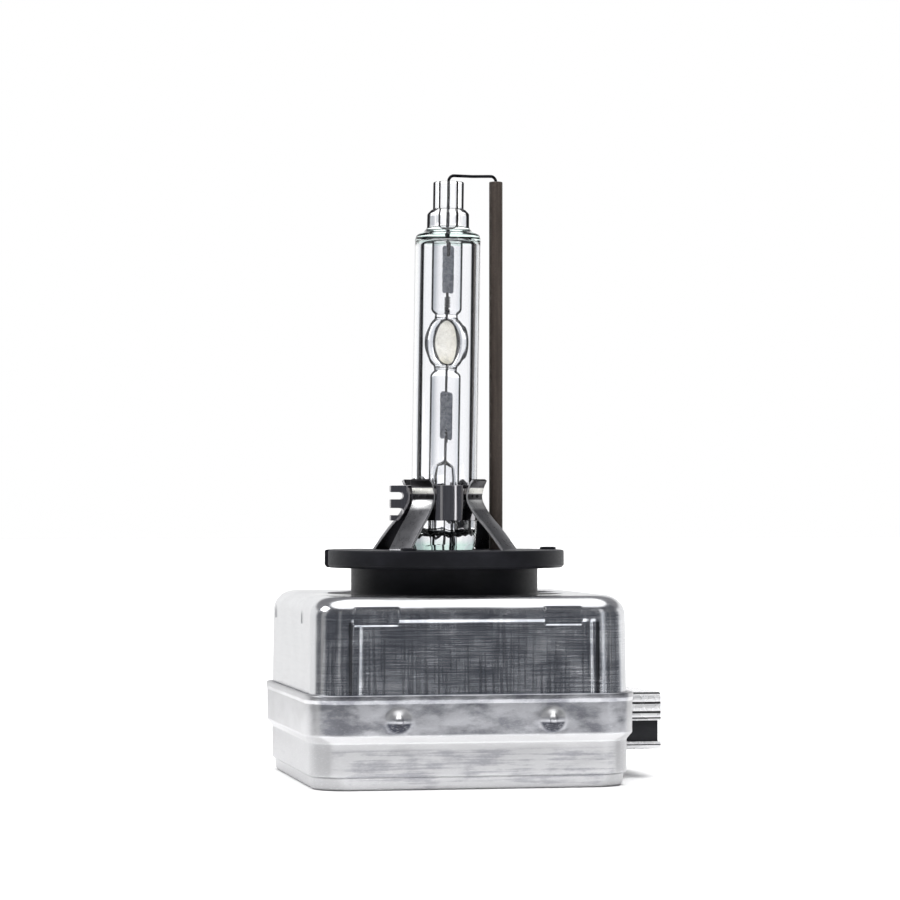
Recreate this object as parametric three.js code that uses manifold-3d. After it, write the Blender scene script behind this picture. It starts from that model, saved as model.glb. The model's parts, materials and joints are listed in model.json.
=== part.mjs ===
// A gas-discharge headlight bulb with its igniter in the cap, in millimetres, +Z up.
// The origin is on the lamp axis, at the underside of the can. The plug socket faces +X.
import * as THREE from "three";
import { mergeVertices } from "three/addons/utils/BufferGeometryUtils.js";
import Module from "manifold-3d";

const wasm = await Module();
wasm.setup();

// ---- Driving dimensions -------------------------------------------------------------------------

const REF_Z = 29.7; // top of the reference disc, the lamp's optical datum
const LIGHT_CENTRE = 27.1; // from the datum up to the middle of the arc
const ARC_Z = REF_Z + LIGHT_CENTRE;
const ARC_GAP = 4.2;
const GAP = 0.05; // between pieces that touch
const FIT = 0.06; // round the metal sealed in the quartz

const CAN_TOP_Z = 24.1;
const CAN_BOTTOM_Z = 7.4;
const CAN_HALF_TOP = 20.2; // half the can's width under its rounded top edge
const CAN_HALF_BOTTOM = 20.4;
const CAN_EDGE_R = 2.6;
const CAN_CORNER_R = 4.2;
const SHEET = 0.6;
const CAN_HOLE_R = 16;
const PAD_IN = 9.3; // the pressed pads reach from here to PAD_OUT either side of a face's middle
const PAD_OUT = 14.4;
const PAD_DEPTH = 0.3;

const TRAY_TOP_Z = 11.9;
const TRAY_STEP_Z = 6.8; // where the tray widens to lap over the can
const TRAY_LIP_Z = 1.4;
const TRAY_HALF = 20.4;
const TRAY_BAND_HALF = 21.1;
const TRAY_CORNER_R = 4.3;
const NIB_X = 9.8; // the staked nibs that hold the can in the tray
const NIB_Z = 8.6;

const DISC_R = 15.65;
const DISC_BOTTOM_Z = 27.4;
const DRUM_R = 12.2;
const SPIGOT_R = 15.6; // fills the can's hole
const SPIGOT_TOP_Z = 23.85;
const FLANGE_R = 17; // lies under the can's top
const FLANGE_TOP_Z = 23.3;
const FLANGE_BOTTOM_Z = 21.9;
const BOSS_R = 1.05;
const BOSS_RING_R = 13.9;
const BOSS_HEIGHT = 0.35;
const BOSS_TURNS = [0, 90, 240]; // clear of the keyways

const ENVELOPE_R = 4.3;
const ENVELOPE_WALL = 0.9;
const ENVELOPE_TOP_Z = 71.2;
const ENVELOPE_BOTTOM_Z = 28.8;
const ENVELOPE_FLOOR_Z = 31.6; // inside, where the tube is fused down onto the burner
const ENVELOPE_ROOF_Z = 70.3;
const COLLAR_R = 2.75;
const COLLAR_TOP_Z = 74.1;
const COLLAR_BOTTOM_Z = 27.6;
const POCKET_R = 4.05; // the base's recess round the envelope's rounded end
const POCKET_BOTTOM_Z = 28.4;

const BURNER_R = 2.0;
const TAIL_BORE_R = 1.2;
const SEAL_TOP_Z = 70.6; // the solid seals end here, and the open tails begin
const SEAL_BOTTOM_Z = 41.1;
const BURNER_TOP_Z = 77.8;
const BURNER_BOTTOM_Z = 26.2;
const BULB_R = 2.9;
const BULB_HALF = 3.65;
const CHAMBER_R = 1.38;
const CHAMBER_HALF = 3.1;
const FOIL_WIDTH = 1.3;
const FOIL_THICK = 0.12;
const FOIL_LENGTH = 6.2;
const FOIL_OFFSET = 6.45; // from the arc's middle to the near end of a foil
const UPPER_FOIL_TURN = 38; // degrees about the axis
const LOWER_FOIL_TURN = 22;
const ELECTRODE_R = 0.16;
const LEAD_R = 0.22;
const UPPER_LEAD_TOP_Z = 74.6;
const LOWER_LEAD_END_Z = 20.4;

const RETURN_X = 6.9; // the return lead runs parallel to the axis here
const RETURN_TOP_Z = 78.66; // middle of the lead where it crosses over
const RETURN_END_Z = 19.8;
const RETURN_R = 0.2;
const RETURN_BEND_R = 0.66;
const CERAMIC_R = 0.88;
const CERAMIC_BORE_R = 0.35;
const CERAMIC_TOP_Z = 77.95;
const CERAMIC_BOTTOM_Z = 25.5;

const SLEEVE_R = 4.47;
const SLEEVE_BOTTOM_Z = 33.5;
const SLEEVE_TOP_Z = 38.1;
const TAIL_REACH = 7.2; // radius of the clamp tails' tips
const TAIL_SLOT_Z = [34.65, 36.75];
const LEG_WIDTH = 3.3;
const LEG_THICK = 0.4;
const LEG_FOOT_R = 10.15;
const LEG_FOOT_Z = 27.1;
const LEG_TURN = 45; // degrees from +X to the first leg

const SOCKET_END_X = 27.3;
const SOCKET_TOP_Z = 11.15;
const SOCKET_BOTTOM_Z = 3.7;
const SOCKET_HALF_Y = 7.6;
const WINDOW_BOTTOM_Z = 4.75;
const WINDOW_TOP_Z = 7.5;
const SHROUD_SHEET = 0.45;
const GROOVE_Z = [9.78, 8.57]; // between the shroud's ribs
const GROOVE_HALF = 0.13;
const GROOVE_DEPTH = 0.2;
const PIN_SPACING = 3.6;
const PIN_HALF = 0.5;
const PIN_Z = (SOCKET_TOP_Z + SOCKET_BOTTOM_Z) / 2;
const PIN_ROOT_X = 14.2;
const PIN_END_X = 22.9;
const SOCKET_FLOOR_X = 19.6;
const SOCKET_WALL = 0.8;

const HOUSING_HALF = 18.2;
const HOUSING_WALL = 1.2;
const HOUSING_TOP_Z = 21.7;
const HOUSING_BOTTOM_Z = 2.4;

// ---- Materials ----------------------------------------------------------------------------------

const finish = (color, roughness, metalness, extra = {}) =>
  new THREE.MeshStandardMaterial({ color, roughness, metalness, ...extra });
const ALUMINIUM = finish(0xc9cacd, 0.32, 1);
const PLASTIC = finish(0x1b1c20, 0.55, 0);
const STEEL = finish(0x5d5c60, 0.35, 1);
const BRIGHT = finish(0xc8c9cc, 0.2, 1);
const QUARTZ = finish(0xe8f2f0, 0.02, 0, { transparent: true, opacity: 0.3 });
const CERAMIC = finish(0x463e39, 0.6, 0);
const MOLYBDENUM = finish(0x6d727b, 0.4, 1);
const TUNGSTEN = finish(0x2c2c30, 0.4, 1);
const SALT = finish(0xe6e2cf, 0.9, 0);
const COPPER = finish(0xb4663a, 0.35, 1);
const FERRITE = finish(0x2f2d2c, 0.7, 0);
const BOBBIN = finish(0x3a2f27, 0.6, 0);
const WHITE_CERAMIC = finish(0xdcd8cc, 0.5, 0);
const CAPACITOR = finish(0x8a3a1e, 0.45, 0);
const RESISTOR = finish(0x9fb4a4, 0.5, 0);
const POTTING = finish(0x54504a, 0.5, 0);

// ---- Solids -------------------------------------------------------------------------------------

const ROUND = 28; // sides of a large circle
const FINE = 48; // sides of the largest circles
const COARSE = 16; // sides of a small round piece
const SMALL = 12; // sides of a wire

function toManifold(geometry) {
  const plain = geometry.clone();
  plain.deleteAttribute("normal");
  plain.deleteAttribute("uv");
  const merged = mergeVertices(plain, 1e-4);
  const index = merged.index.array;
  const kept = [];
  for (let i = 0; i < index.length; i += 3) {
    const [a, b, c] = [index[i], index[i + 1], index[i + 2]];
    if (a !== b && b !== c && c !== a) kept.push(a, b, c);
  }
  const vertProperties = merged.attributes.position.array;
  const solidOf = (triVerts) => new wasm.Manifold(new wasm.Mesh({ numProp: 3, vertProperties, triVerts }));
  const solid = solidOf(new Uint32Array(kept));
  if (solid.volume() > 0) return solid;
  return solidOf(new Uint32Array(kept).reverse());
}

function toGeometry(solid) {
  const mesh = solid.getMesh();
  const positions = new Float32Array(mesh.numVert * 3);
  for (let i = 0; i < mesh.numVert; i++) {
    positions.set(mesh.vertProperties.subarray(i * mesh.numProp, i * mesh.numProp + 3), i * 3);
  }
  const geometry = new THREE.BufferGeometry();
  geometry.setAttribute("position", new THREE.BufferAttribute(positions, 3));
  geometry.setIndex(new THREE.BufferAttribute(mesh.triVerts, 1));
  geometry.computeVertexNormals();
  return geometry;
}

// A solid of revolution about Z from [radius, z] points.
function lathe(points, sides = ROUND) {
  const profile = points.map(([r, z]) => new THREE.Vector2(r, z));
  return toManifold(new THREE.LatheGeometry(profile, sides).rotateX(Math.PI / 2));
}

const rod = (radius, z0, z1, sides = ROUND) => lathe([[0, z0], [radius, z0], [radius, z1], [0, z1]], sides);

const pipe = (inner, outer, z0, z1, sides = ROUND) =>
  lathe([[inner, z0], [outer, z0], [outer, z1], [inner, z1], [inner, z0]], sides);

function box(x0, x1, y0, y1, z0, z1) {
  const geometry = new THREE.BoxGeometry(x1 - x0, y1 - y0, z1 - z0);
  return toManifold(geometry.translate((x0 + x1) / 2, (y0 + y1) / 2, (z0 + z1) / 2));
}

// The points of a square with round corners, as half its width and its corner radius, at height z.
function squareRing(half, radius, z, cornerSteps = 6) {
  const ring = [];
  const inset = half - radius;
  for (let corner = 0; corner < 4; corner++) {
    const start = (corner * Math.PI) / 2;
    const centre = start + Math.PI / 4;
    const cx = Math.sign(Math.cos(centre)) * inset;
    const cy = Math.sign(Math.sin(centre)) * inset;
    for (let step = 0; step <= cornerSteps; step++) {
      const angle = start + (step / cornerSteps) * (Math.PI / 2);
      ring.push([cx + radius * Math.cos(angle), cy + radius * Math.sin(angle), z]);
    }
  }
  return ring;
}

// A closed solid through rings of equal length, capped at its first and last ring.
function loft(rings) {
  const count = rings[0].length;
  const positions = rings.flat().flat();
  const index = [];
  for (let level = 0; level < rings.length - 1; level++) {
    for (let i = 0; i < count; i++) {
      const a = level * count + i;
      const b = level * count + ((i + 1) % count);
      index.push(a, b, b + count, a, b + count, a + count);
    }
  }
  for (const [level, turn] of [[0, -1], [rings.length - 1, 1]]) {
    const centre = positions.length / 3;
    for (let axis = 0; axis < 3; axis++) {
      positions.push(rings[level].reduce((sum, point) => sum + point[axis], 0) / count);
    }
    for (let i = 0; i < count; i++) {
      const a = level * count + i;
      const b = level * count + ((i + 1) % count);
      index.push(centre, ...(turn > 0 ? [a, b] : [b, a]));
    }
  }
  const geometry = new THREE.BufferGeometry();
  geometry.setAttribute("position", new THREE.Float32BufferAttribute(positions, 3));
  geometry.setIndex(index);
  return toManifold(geometry);
}

const squareSlab = (half, corner, z0, z1) =>
  loft([squareRing(half, corner, z0, 4), squareRing(half, corner, z1, 4)]);

// A flat outline in [u, v] pushed along its normal, then turned by a matrix.
function plate(outline, thickness, matrix = new THREE.Matrix4()) {
  const shape = new THREE.Shape(outline.map(([u, v]) => new THREE.Vector2(u, v)));
  const geometry = new THREE.ExtrudeGeometry(shape, { depth: thickness, bevelEnabled: false });
  return toManifold(geometry.translate(0, 0, -thickness / 2).applyMatrix4(matrix));
}

// A round wire in the plane of X and Z, through [x, z] points, at y.
function wire(points, radius, y = 0, sides = 8) {
  const rings = points.map(([x, z], i) => {
    const [fromX, fromZ] = points[Math.max(i - 1, 0)];
    const [toX, toZ] = points[Math.min(i + 1, points.length - 1)];
    const length = Math.hypot(toX - fromX, toZ - fromZ);
    const [acrossX, acrossZ] = [(toZ - fromZ) / length, (fromX - toX) / length];
    const ring = [];
    for (let side = 0; side < sides; side++) {
      const angle = (side / sides) * 2 * Math.PI;
      const out = radius * Math.cos(angle);
      ring.push([x + acrossX * out, y + radius * Math.sin(angle), z + acrossZ * out]);
    }
    return ring;
  });
  return loft(rings);
}

// Points of an arc in [x, z] about a centre, from one angle to another in degrees.
function arc([x, z], radius, from, to, steps = 5) {
  const points = [];
  for (let step = 0; step <= steps; step++) {
    const angle = ((from + ((to - from) * step) / steps) * Math.PI) / 180;
    points.push([x + radius * Math.cos(angle), z + radius * Math.sin(angle)]);
  }
  return points;
}

const turned = (solid, degrees) => solid.rotate([0, 0, degrees]);
const alongX = (solid) => solid.rotate([0, 90, 0]); // a solid made along Z is laid along X
const alongY = (solid) => solid.rotate([-90, 0, 0]);

const bulb = new THREE.Group();

function add(name, solid, material) {
  const mesh = new THREE.Mesh(toGeometry(solid), material);
  mesh.name = name;
  bulb.add(mesh);
}

// ---- The can ------------------------------------------------------------------------------------

// The space round the plug socket, with some clearance.
function socketClearance(clear) {
  const half = SOCKET_HALF_Y + clear;
  return box(TRAY_HALF - 3, TRAY_BAND_HALF + 1, -half, half, SOCKET_BOTTOM_Z - clear, SOCKET_TOP_Z + clear);
}

// Rings of a drawn shell: straight wall with draft, then a rounded top edge.
function canRings(inset, bottomZ) {
  const edge = CAN_EDGE_R - inset;
  const corner = CAN_CORNER_R - inset;
  const topZ = CAN_TOP_Z - inset;
  const rings = [squareRing(CAN_HALF_BOTTOM - inset, corner, bottomZ)];
  const steps = 5;
  for (let step = 0; step <= steps; step++) {
    const angle = (step / steps) * (Math.PI / 2);
    const drawIn = edge * (1 - Math.cos(angle));
    const z = topZ - edge + edge * Math.sin(angle);
    rings.push(squareRing(CAN_HALF_TOP - inset - drawIn, corner - drawIn * 0.6, z));
  }
  return rings;
}

function shieldCan() {
  let can = loft(canRings(0, CAN_BOTTOM_Z)).subtract(loft(canRings(SHEET, CAN_BOTTOM_Z - 1)));
  can = can.subtract(rod(CAN_HOLE_R, CAN_TOP_Z - 2, CAN_TOP_Z + 1, FINE));
  const face = -CAN_HALF_TOP;
  const pad = box(PAD_IN, PAD_OUT, face - 1, face + PAD_DEPTH, CAN_TOP_Z - 3.6, CAN_TOP_Z - 0.9);
  for (const quarter of [0, 90, 180, 270]) {
    can = can.subtract(turned(pad, quarter)).subtract(turned(pad.mirror([1, 0, 0]), quarter));
  }
  return can.subtract(socketClearance(0.3));
}

function trayRings(inset, floorZ) {
  const corner = TRAY_CORNER_R - inset;
  const lipHalf = TRAY_HALF - 0.35;
  return [
    squareRing(lipHalf - 0.9, corner - 0.8, floorZ),
    squareRing(lipHalf - 0.25 - inset, corner, floorZ + 0.35),
    squareRing(lipHalf - inset, corner, floorZ + 0.9),
    squareRing(lipHalf - inset, corner, TRAY_LIP_Z + inset * 0.5),
    squareRing(TRAY_HALF - inset, corner, TRAY_LIP_Z + 0.15 + inset * 0.5),
    squareRing(TRAY_HALF - inset, corner, TRAY_STEP_Z - 0.4 + inset * 0.3),
    squareRing(TRAY_BAND_HALF - inset, corner + 0.3, TRAY_STEP_Z + 0.3 + inset * 0.3),
    squareRing(TRAY_BAND_HALF - inset, corner + 0.3, TRAY_TOP_Z),
  ];
}

function bottomTray() {
  const outside = trayRings(0, 0);
  const inside = trayRings(SHEET, SHEET).reverse();
  let tray = loft([...outside, ...inside]);
  for (const x of [-NIB_X, NIB_X]) {
    const nib = lathe([[0, -0.2], [1.5, -0.2], [1.2, 0.15], [0.5, 0.6], [0, 0.75]], SMALL);
    const front = nib.rotate([90, 0, 0]).translate([x, -TRAY_BAND_HALF, NIB_Z]);
    tray = tray.add(front).add(turned(front, 180));
  }
  return tray.subtract(socketClearance(0.15));
}

add("shield_can", shieldCan(), ALUMINIUM);
add("bottom_tray", bottomTray(), ALUMINIUM);

// ---- The lamp base ------------------------------------------------------------------------------

function lampBase() {
  let base = lathe(
    [
      [0, FLANGE_BOTTOM_Z],
      [FLANGE_R, FLANGE_BOTTOM_Z],
      [FLANGE_R, FLANGE_TOP_Z],
      [SPIGOT_R, FLANGE_TOP_Z],
      [SPIGOT_R, SPIGOT_TOP_Z],
      [DRUM_R, SPIGOT_TOP_Z],
      [DRUM_R, DISC_BOTTOM_Z],
      [DISC_R - 0.25, DISC_BOTTOM_Z],
      [DISC_R, DISC_BOTTOM_Z + 0.3],
      [DISC_R, REF_Z],
      [0, REF_Z],
    ],
    FINE,
  );
  const boss = rod(BOSS_R, REF_Z - 0.5, REF_Z + BOSS_HEIGHT, SMALL).translate([BOSS_RING_R, 0, 0]);
  for (const angle of BOSS_TURNS) {
    base = base.add(turned(boss, angle));
  }
  const keyways = [[179, 3.2, 1.5], [62, 2.6, 2.4], [118, 5.2, 2.4]]; // angle, width, depth
  for (const [angle, width, depth] of keyways) {
    const cut = box(DISC_R - depth, DISC_R + 1, -width / 2, width / 2, DISC_BOTTOM_Z - 1, REF_Z + 1);
    base = base.subtract(turned(cut, angle));
  }
  const below = FLANGE_BOTTOM_Z - 1;
  const above = REF_Z + 1;
  const onReturn = (solid) => solid.translate([RETURN_X, 0, 0]);
  base = base.subtract(rod(POCKET_R, POCKET_BOTTOM_Z, above));
  base = base.subtract(rod(COLLAR_R + 2 * GAP, COLLAR_BOTTOM_Z - 0.2, above));
  base = base.subtract(rod(BURNER_R + GAP, BURNER_BOTTOM_Z - 1.9, above));
  base = base.subtract(rod(1.1, below, above));
  base = base.subtract(onReturn(rod(CERAMIC_R + GAP, CERAMIC_BOTTOM_Z - GAP, above, COARSE)));
  base = base.subtract(onReturn(rod(2 * RETURN_R, below, above, SMALL)));
  const [slotR, slotHalf] = [LEG_THICK / 2 + GAP, LEG_WIDTH / 2 + GAP];
  const slotBottom = LEG_FOOT_Z - 0.2;
  for (let leg = 0; leg < 4; leg++) {
    const slot = box(LEG_FOOT_R - slotR, LEG_FOOT_R + slotR, -slotHalf, slotHalf, slotBottom, above);
    base = base.subtract(turned(slot, LEG_TURN + 90 * leg));
  }
  return base;
}

add("lamp_base", lampBase(), PLASTIC);

// ---- The burner ---------------------------------------------------------------------------------

function outerEnvelope() {
  const bore = BURNER_R + GAP;
  const inner = ENVELOPE_R - ENVELOPE_WALL;
  return lathe([
    [bore, COLLAR_BOTTOM_Z],
    [COLLAR_R, COLLAR_BOTTOM_Z],
    [COLLAR_R, ENVELOPE_BOTTOM_Z - 0.3],
    [COLLAR_R + 0.6, ENVELOPE_BOTTOM_Z + 0.1],
    [ENVELOPE_R - 0.45, ENVELOPE_BOTTOM_Z + 0.9],
    [ENVELOPE_R - 0.12, ENVELOPE_BOTTOM_Z + 1.8],
    [ENVELOPE_R, ENVELOPE_BOTTOM_Z + 2.8],
    [ENVELOPE_R, ENVELOPE_TOP_Z - 1.0],
    [ENVELOPE_R - 0.35, ENVELOPE_TOP_Z - 0.3],
    [COLLAR_R + 0.5, ENVELOPE_TOP_Z],
    [COLLAR_R, ENVELOPE_TOP_Z + 0.4],
    [COLLAR_R, COLLAR_TOP_Z - 0.6],
    [COLLAR_R - 0.35, COLLAR_TOP_Z],
    [bore, COLLAR_TOP_Z],
    [bore, ENVELOPE_ROOF_Z],
    [inner - 0.3, ENVELOPE_ROOF_Z - 0.2],
    [inner, ENVELOPE_ROOF_Z - 0.9],
    [inner, ENVELOPE_FLOOR_Z + 0.7],
    [inner - 0.3, ENVELOPE_FLOOR_Z + 0.2],
    [bore, ENVELOPE_FLOOR_Z],
    [bore, COLLAR_BOTTOM_Z],
  ]);
}

// A solid measured from the arc's middle, set above it and mirrored below it.
const aboutArc = (solid) => [solid, solid.mirror([0, 0, 1])].map((half) => half.translate([0, 0, ARC_Z]));

// Points [r, z] of half an oval, from its widest point up to where it meets a neck.
function bulbSide(radius, half, neck, steps) {
  const points = [];
  for (let step = 0; step <= steps; step++) {
    const angle = (step / steps) * (Math.PI / 2);
    const [r, z] = [radius * Math.cos(angle), half * Math.sin(angle)];
    if (r > neck) points.push([r, z]);
  }
  return points;
}

function arcTube() {
  const side = bulbSide(BULB_R, BULB_HALF, BURNER_R - 0.25, 8);
  const lower = side.slice(1).reverse().map(([r, z]) => [r, ARC_Z - z]);
  const upper = side.map(([r, z]) => [r, ARC_Z + z]);
  const neck = 1.75;
  const neckAt = BULB_HALF - 0.25;
  const outline = [
    [0, BURNER_BOTTOM_Z],
    [BURNER_R, BURNER_BOTTOM_Z],
    [BURNER_R, ARC_Z - neckAt - 1.2],
    [neck, ARC_Z - neckAt],
    ...lower,
    ...upper,
    [neck, ARC_Z + neckAt],
    [BURNER_R, ARC_Z + neckAt + 1.2],
    [BURNER_R, BURNER_TOP_Z],
    [0, BURNER_TOP_Z],
  ];
  const chamber = bulbSide(CHAMBER_R, CHAMBER_HALF, ELECTRODE_R + FIT, 7);
  const pinR = ELECTRODE_R + FIT;
  const boreEnd = FOIL_OFFSET + 0.8; // past the near end of each foil
  const leadR = LEAD_R + FIT;
  const bore = [
    [0, BURNER_BOTTOM_Z - 1],
    [TAIL_BORE_R, BURNER_BOTTOM_Z - 1],
    [TAIL_BORE_R, SEAL_BOTTOM_Z - 1.2],
    [TAIL_BORE_R * 0.7, SEAL_BOTTOM_Z - 0.35],
    [leadR, SEAL_BOTTOM_Z],
    [leadR, ARC_Z - boreEnd],
    [pinR, ARC_Z - boreEnd],
    ...chamber.slice(1).reverse().map(([r, z]) => [r, ARC_Z - z]),
    ...chamber.map(([r, z]) => [r, ARC_Z + z]),
    [pinR, ARC_Z + boreEnd],
    [leadR, ARC_Z + boreEnd],
    [leadR, SEAL_TOP_Z],
    [TAIL_BORE_R * 0.7, SEAL_TOP_Z + 0.35],
    [TAIL_BORE_R, SEAL_TOP_Z + 1.2],
    [TAIL_BORE_R, BURNER_TOP_Z + 1],
    [0, BURNER_TOP_Z + 1],
  ];
  const [wide, deep] = [FOIL_WIDTH / 2 + FIT, FOIL_THICK / 2 + FIT];
  const pocket = box(-wide, wide, -deep, deep, FOIL_OFFSET - FIT, FOIL_OFFSET + FOIL_LENGTH + FIT);
  const [upperPocket, lowerPocket] = aboutArc(pocket);
  return lathe(outline)
    .subtract(lathe(bore, COARSE))
    .subtract(turned(upperPocket, UPPER_FOIL_TURN))
    .subtract(turned(lowerPocket, LOWER_FOIL_TURN));
}

// A tungsten pin from the foil to its tip, for the upper side; the lower one is its mirror image.
function electrode() {
  const tip = ARC_GAP / 2;
  return lathe(
    [
      [0, tip],
      [ELECTRODE_R * 0.7, tip],
      [ELECTRODE_R, tip + 0.15],
      [ELECTRODE_R, FOIL_OFFSET - GAP],
      [0, FOIL_OFFSET - GAP],
    ],
    SMALL,
  );
}

function foil() {
  const middle = FOIL_OFFSET + FOIL_LENGTH / 2;
  const [w, h, taper] = [FOIL_WIDTH / 2, FOIL_LENGTH / 2, 0.35];
  const outline = [
    [-w + taper, -h],
    [w - taper, -h],
    [w, -h + taper],
    [w, h - taper],
    [w - taper, h],
    [-w + taper, h],
    [-w, h - taper],
    [-w, -h + taper],
  ];
  const upright = new THREE.Matrix4().makeRotationX(Math.PI / 2);
  return plate(outline, FOIL_THICK, upright).translate([0, 0, middle]);
}

// A thin film on the chamber's wall, open at both electrodes.
function saltFill() {
  const shell = CHAMBER_R - 0.05;
  const half = CHAMBER_HALF - 0.06;
  const film = (radius, length) => {
    const upper = bulbSide(radius, length, 0.55, 7);
    return [...upper.slice(1).reverse().map(([r, z]) => [r, -z]), ...upper];
  };
  const outer = film(shell, half);
  const inner = film(shell - 0.14, half - 0.16);
  return lathe([...outer, ...inner.reverse(), outer[0]], COARSE).translate([0, 0, ARC_Z]);
}

add("outer_envelope", outerEnvelope(), QUARTZ);
add("arc_tube", arcTube(), QUARTZ);
const [upperPin, lowerPin] = aboutArc(electrode());
add("upper_electrode", upperPin, TUNGSTEN);
add("lower_electrode", lowerPin, TUNGSTEN);
const [upperFoil, lowerFoil] = aboutArc(foil());
add("upper_foil", turned(upperFoil, UPPER_FOIL_TURN), MOLYBDENUM);
add("lower_foil", turned(lowerFoil, LOWER_FOIL_TURN), MOLYBDENUM);
add("salt_fill", saltFill(), SALT);

const leadStart = FOIL_OFFSET + FOIL_LENGTH + GAP;
add("upper_lead", rod(LEAD_R, ARC_Z + leadStart, UPPER_LEAD_TOP_Z, SMALL), MOLYBDENUM);
add("lower_lead", rod(LEAD_R, LOWER_LEAD_END_Z, ARC_Z - leadStart, SMALL), MOLYBDENUM);

// ---- The return lead and its ceramic tube --------------------------------------------------------

function returnLead() {
  const bendZ = RETURN_TOP_Z - RETURN_BEND_R;
  return wire(
    [
      [0, UPPER_LEAD_TOP_Z + GAP],
      ...arc([RETURN_BEND_R, bendZ], RETURN_BEND_R, 180, 90),
      ...arc([RETURN_X - RETURN_BEND_R, bendZ], RETURN_BEND_R, 90, 0),
      [RETURN_X, RETURN_END_Z],
    ],
    RETURN_R,
  );
}

add("return_lead", returnLead(), BRIGHT);
const ceramic = pipe(CERAMIC_BORE_R, CERAMIC_R, CERAMIC_BOTTOM_Z, CERAMIC_TOP_Z, COARSE);
add("ceramic_tube", ceramic.translate([RETURN_X, 0, 0]), CERAMIC);

// ---- The clamp ----------------------------------------------------------------------------------

function clampSleeve() {
  const inner = ENVELOPE_R + GAP;
  const gapHalf = 0.15; // half the gap between the band's two ends
  const tailThick = 0.38;
  const cutR = 0.48;
  const cutDepth = 1.2;
  const split = box(-SLEEVE_R - 1, -inner + 1, -gapHalf, gapHalf, SLEEVE_BOTTOM_Z - 1, SLEEVE_TOP_Z + 1);
  let sleeve = pipe(inner, SLEEVE_R, SLEEVE_BOTTOM_Z, SLEEVE_TOP_Z).subtract(split);
  for (const side of [1, -1]) {
    const [y0, y1] = [side * gapHalf, side * (gapHalf + tailThick)].sort((a, b) => a - b);
    let tail = box(-TAIL_REACH, -inner - 0.06, y0, y1, SLEEVE_BOTTOM_Z, SLEEVE_TOP_Z);
    for (const z of TAIL_SLOT_Z) {
      const slot = box(-TAIL_REACH - 1, -TAIL_REACH + cutDepth, -1, 1, z - cutR, z + cutR);
      const end = alongY(rod(cutR, -1, 1, SMALL)).translate([-TAIL_REACH + cutDepth, 0, z]);
      tail = tail.subtract(slot).subtract(end);
    }
    sleeve = sleeve.add(tail);
  }
  return sleeve;
}

// A bent strip in the plane of the axis and its foot, given by its middle line and its thickness.
function leg() {
  const contactR = SLEEVE_R + GAP + LEG_THICK / 2;
  const middle = new THREE.CatmullRomCurve3(
    [
      [LEG_FOOT_R, REF_Z - 0.8],
      [LEG_FOOT_R, REF_Z],
      [LEG_FOOT_R - 0.3, REF_Z + 0.4],
      [7.9, 32.3],
      [6.5, 33.6],
      [5.6, 34.5],
      [5.0, 35.4],
      [contactR + 0.04, 36.1],
      [contactR, 36.7],
      [contactR + 0.15, 37.5],
      [contactR + 0.6, 38.85],
    ].map(([r, z]) => new THREE.Vector3(r, z, 0)),
    false,
    "centripetal",
  );
  const steps = 20;
  const [left, right] = [[], []];
  for (let step = 0; step <= steps; step++) {
    const at = middle.getPoint(step / steps);
    const along = middle.getTangent(step / steps);
    left.push([at.x - (along.y * LEG_THICK) / 2, at.y + (along.x * LEG_THICK) / 2]);
    right.push([at.x + (along.y * LEG_THICK) / 2, at.y - (along.x * LEG_THICK) / 2]);
  }
  left[0] = [LEG_FOOT_R - LEG_THICK / 2, LEG_FOOT_Z];
  right[0] = [LEG_FOOT_R + LEG_THICK / 2, LEG_FOOT_Z];
  const upright = new THREE.Matrix4().makeRotationX(Math.PI / 2);
  return plate([...left, ...right.reverse()], LEG_WIDTH, upright);
}

add("clamp_sleeve", clampSleeve(), STEEL);
["rear_right", "rear_left", "front_left", "front_right"].forEach((place, i) => {
  add(`leg_${place}`, turned(leg(), LEG_TURN + 90 * i), STEEL);
});

// ---- The plug socket ----------------------------------------------------------------------------

const socketBox = (inset, x0, x1) =>
  box(x0, x1, -SOCKET_HALF_Y + inset, SOCKET_HALF_Y - inset, SOCKET_BOTTOM_Z + inset, SOCKET_TOP_Z - inset);

// Cuts the holes through which the three pins pass.
function pinHoles(solid, clear) {
  const half = PIN_HALF + clear;
  for (const pin of [-1, 0, 1]) {
    const y = pin * PIN_SPACING;
    solid = solid.subtract(box(PIN_ROOT_X, PIN_END_X, y - half, y + half, PIN_Z - half, PIN_Z + half));
  }
  return solid;
}

function connectorShroud() {
  const root = TRAY_HALF - 1.4;
  const hollow = socketBox(SHROUD_SHEET, root - 1, SOCKET_END_X + 1);
  let shroud = socketBox(0, root, SOCKET_END_X).subtract(hollow);
  const outside = -SOCKET_HALF_Y - 1;
  const slot = (depth, z0, z1) => {
    const cut = box(TRAY_BAND_HALF + 0.3, SOCKET_END_X + 1, outside, -SOCKET_HALF_Y + depth, z0, z1);
    shroud = shroud.subtract(cut).subtract(cut.mirror([0, 1, 0]));
  };
  for (const z of GROOVE_Z) slot(GROOVE_DEPTH, z - GROOVE_HALF, z + GROOVE_HALF);
  slot(1, WINDOW_BOTTOM_Z, WINDOW_TOP_Z);
  return shroud;
}

function connectorBody() {
  const skin = SHROUD_SHEET + GAP;
  const body = socketBox(skin, HOUSING_HALF + GAP, SOCKET_END_X - 0.3);
  const hollow = socketBox(skin + SOCKET_WALL, SOCKET_FLOOR_X, SOCKET_END_X + 1);
  return pinHoles(body.subtract(hollow), GAP);
}

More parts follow.
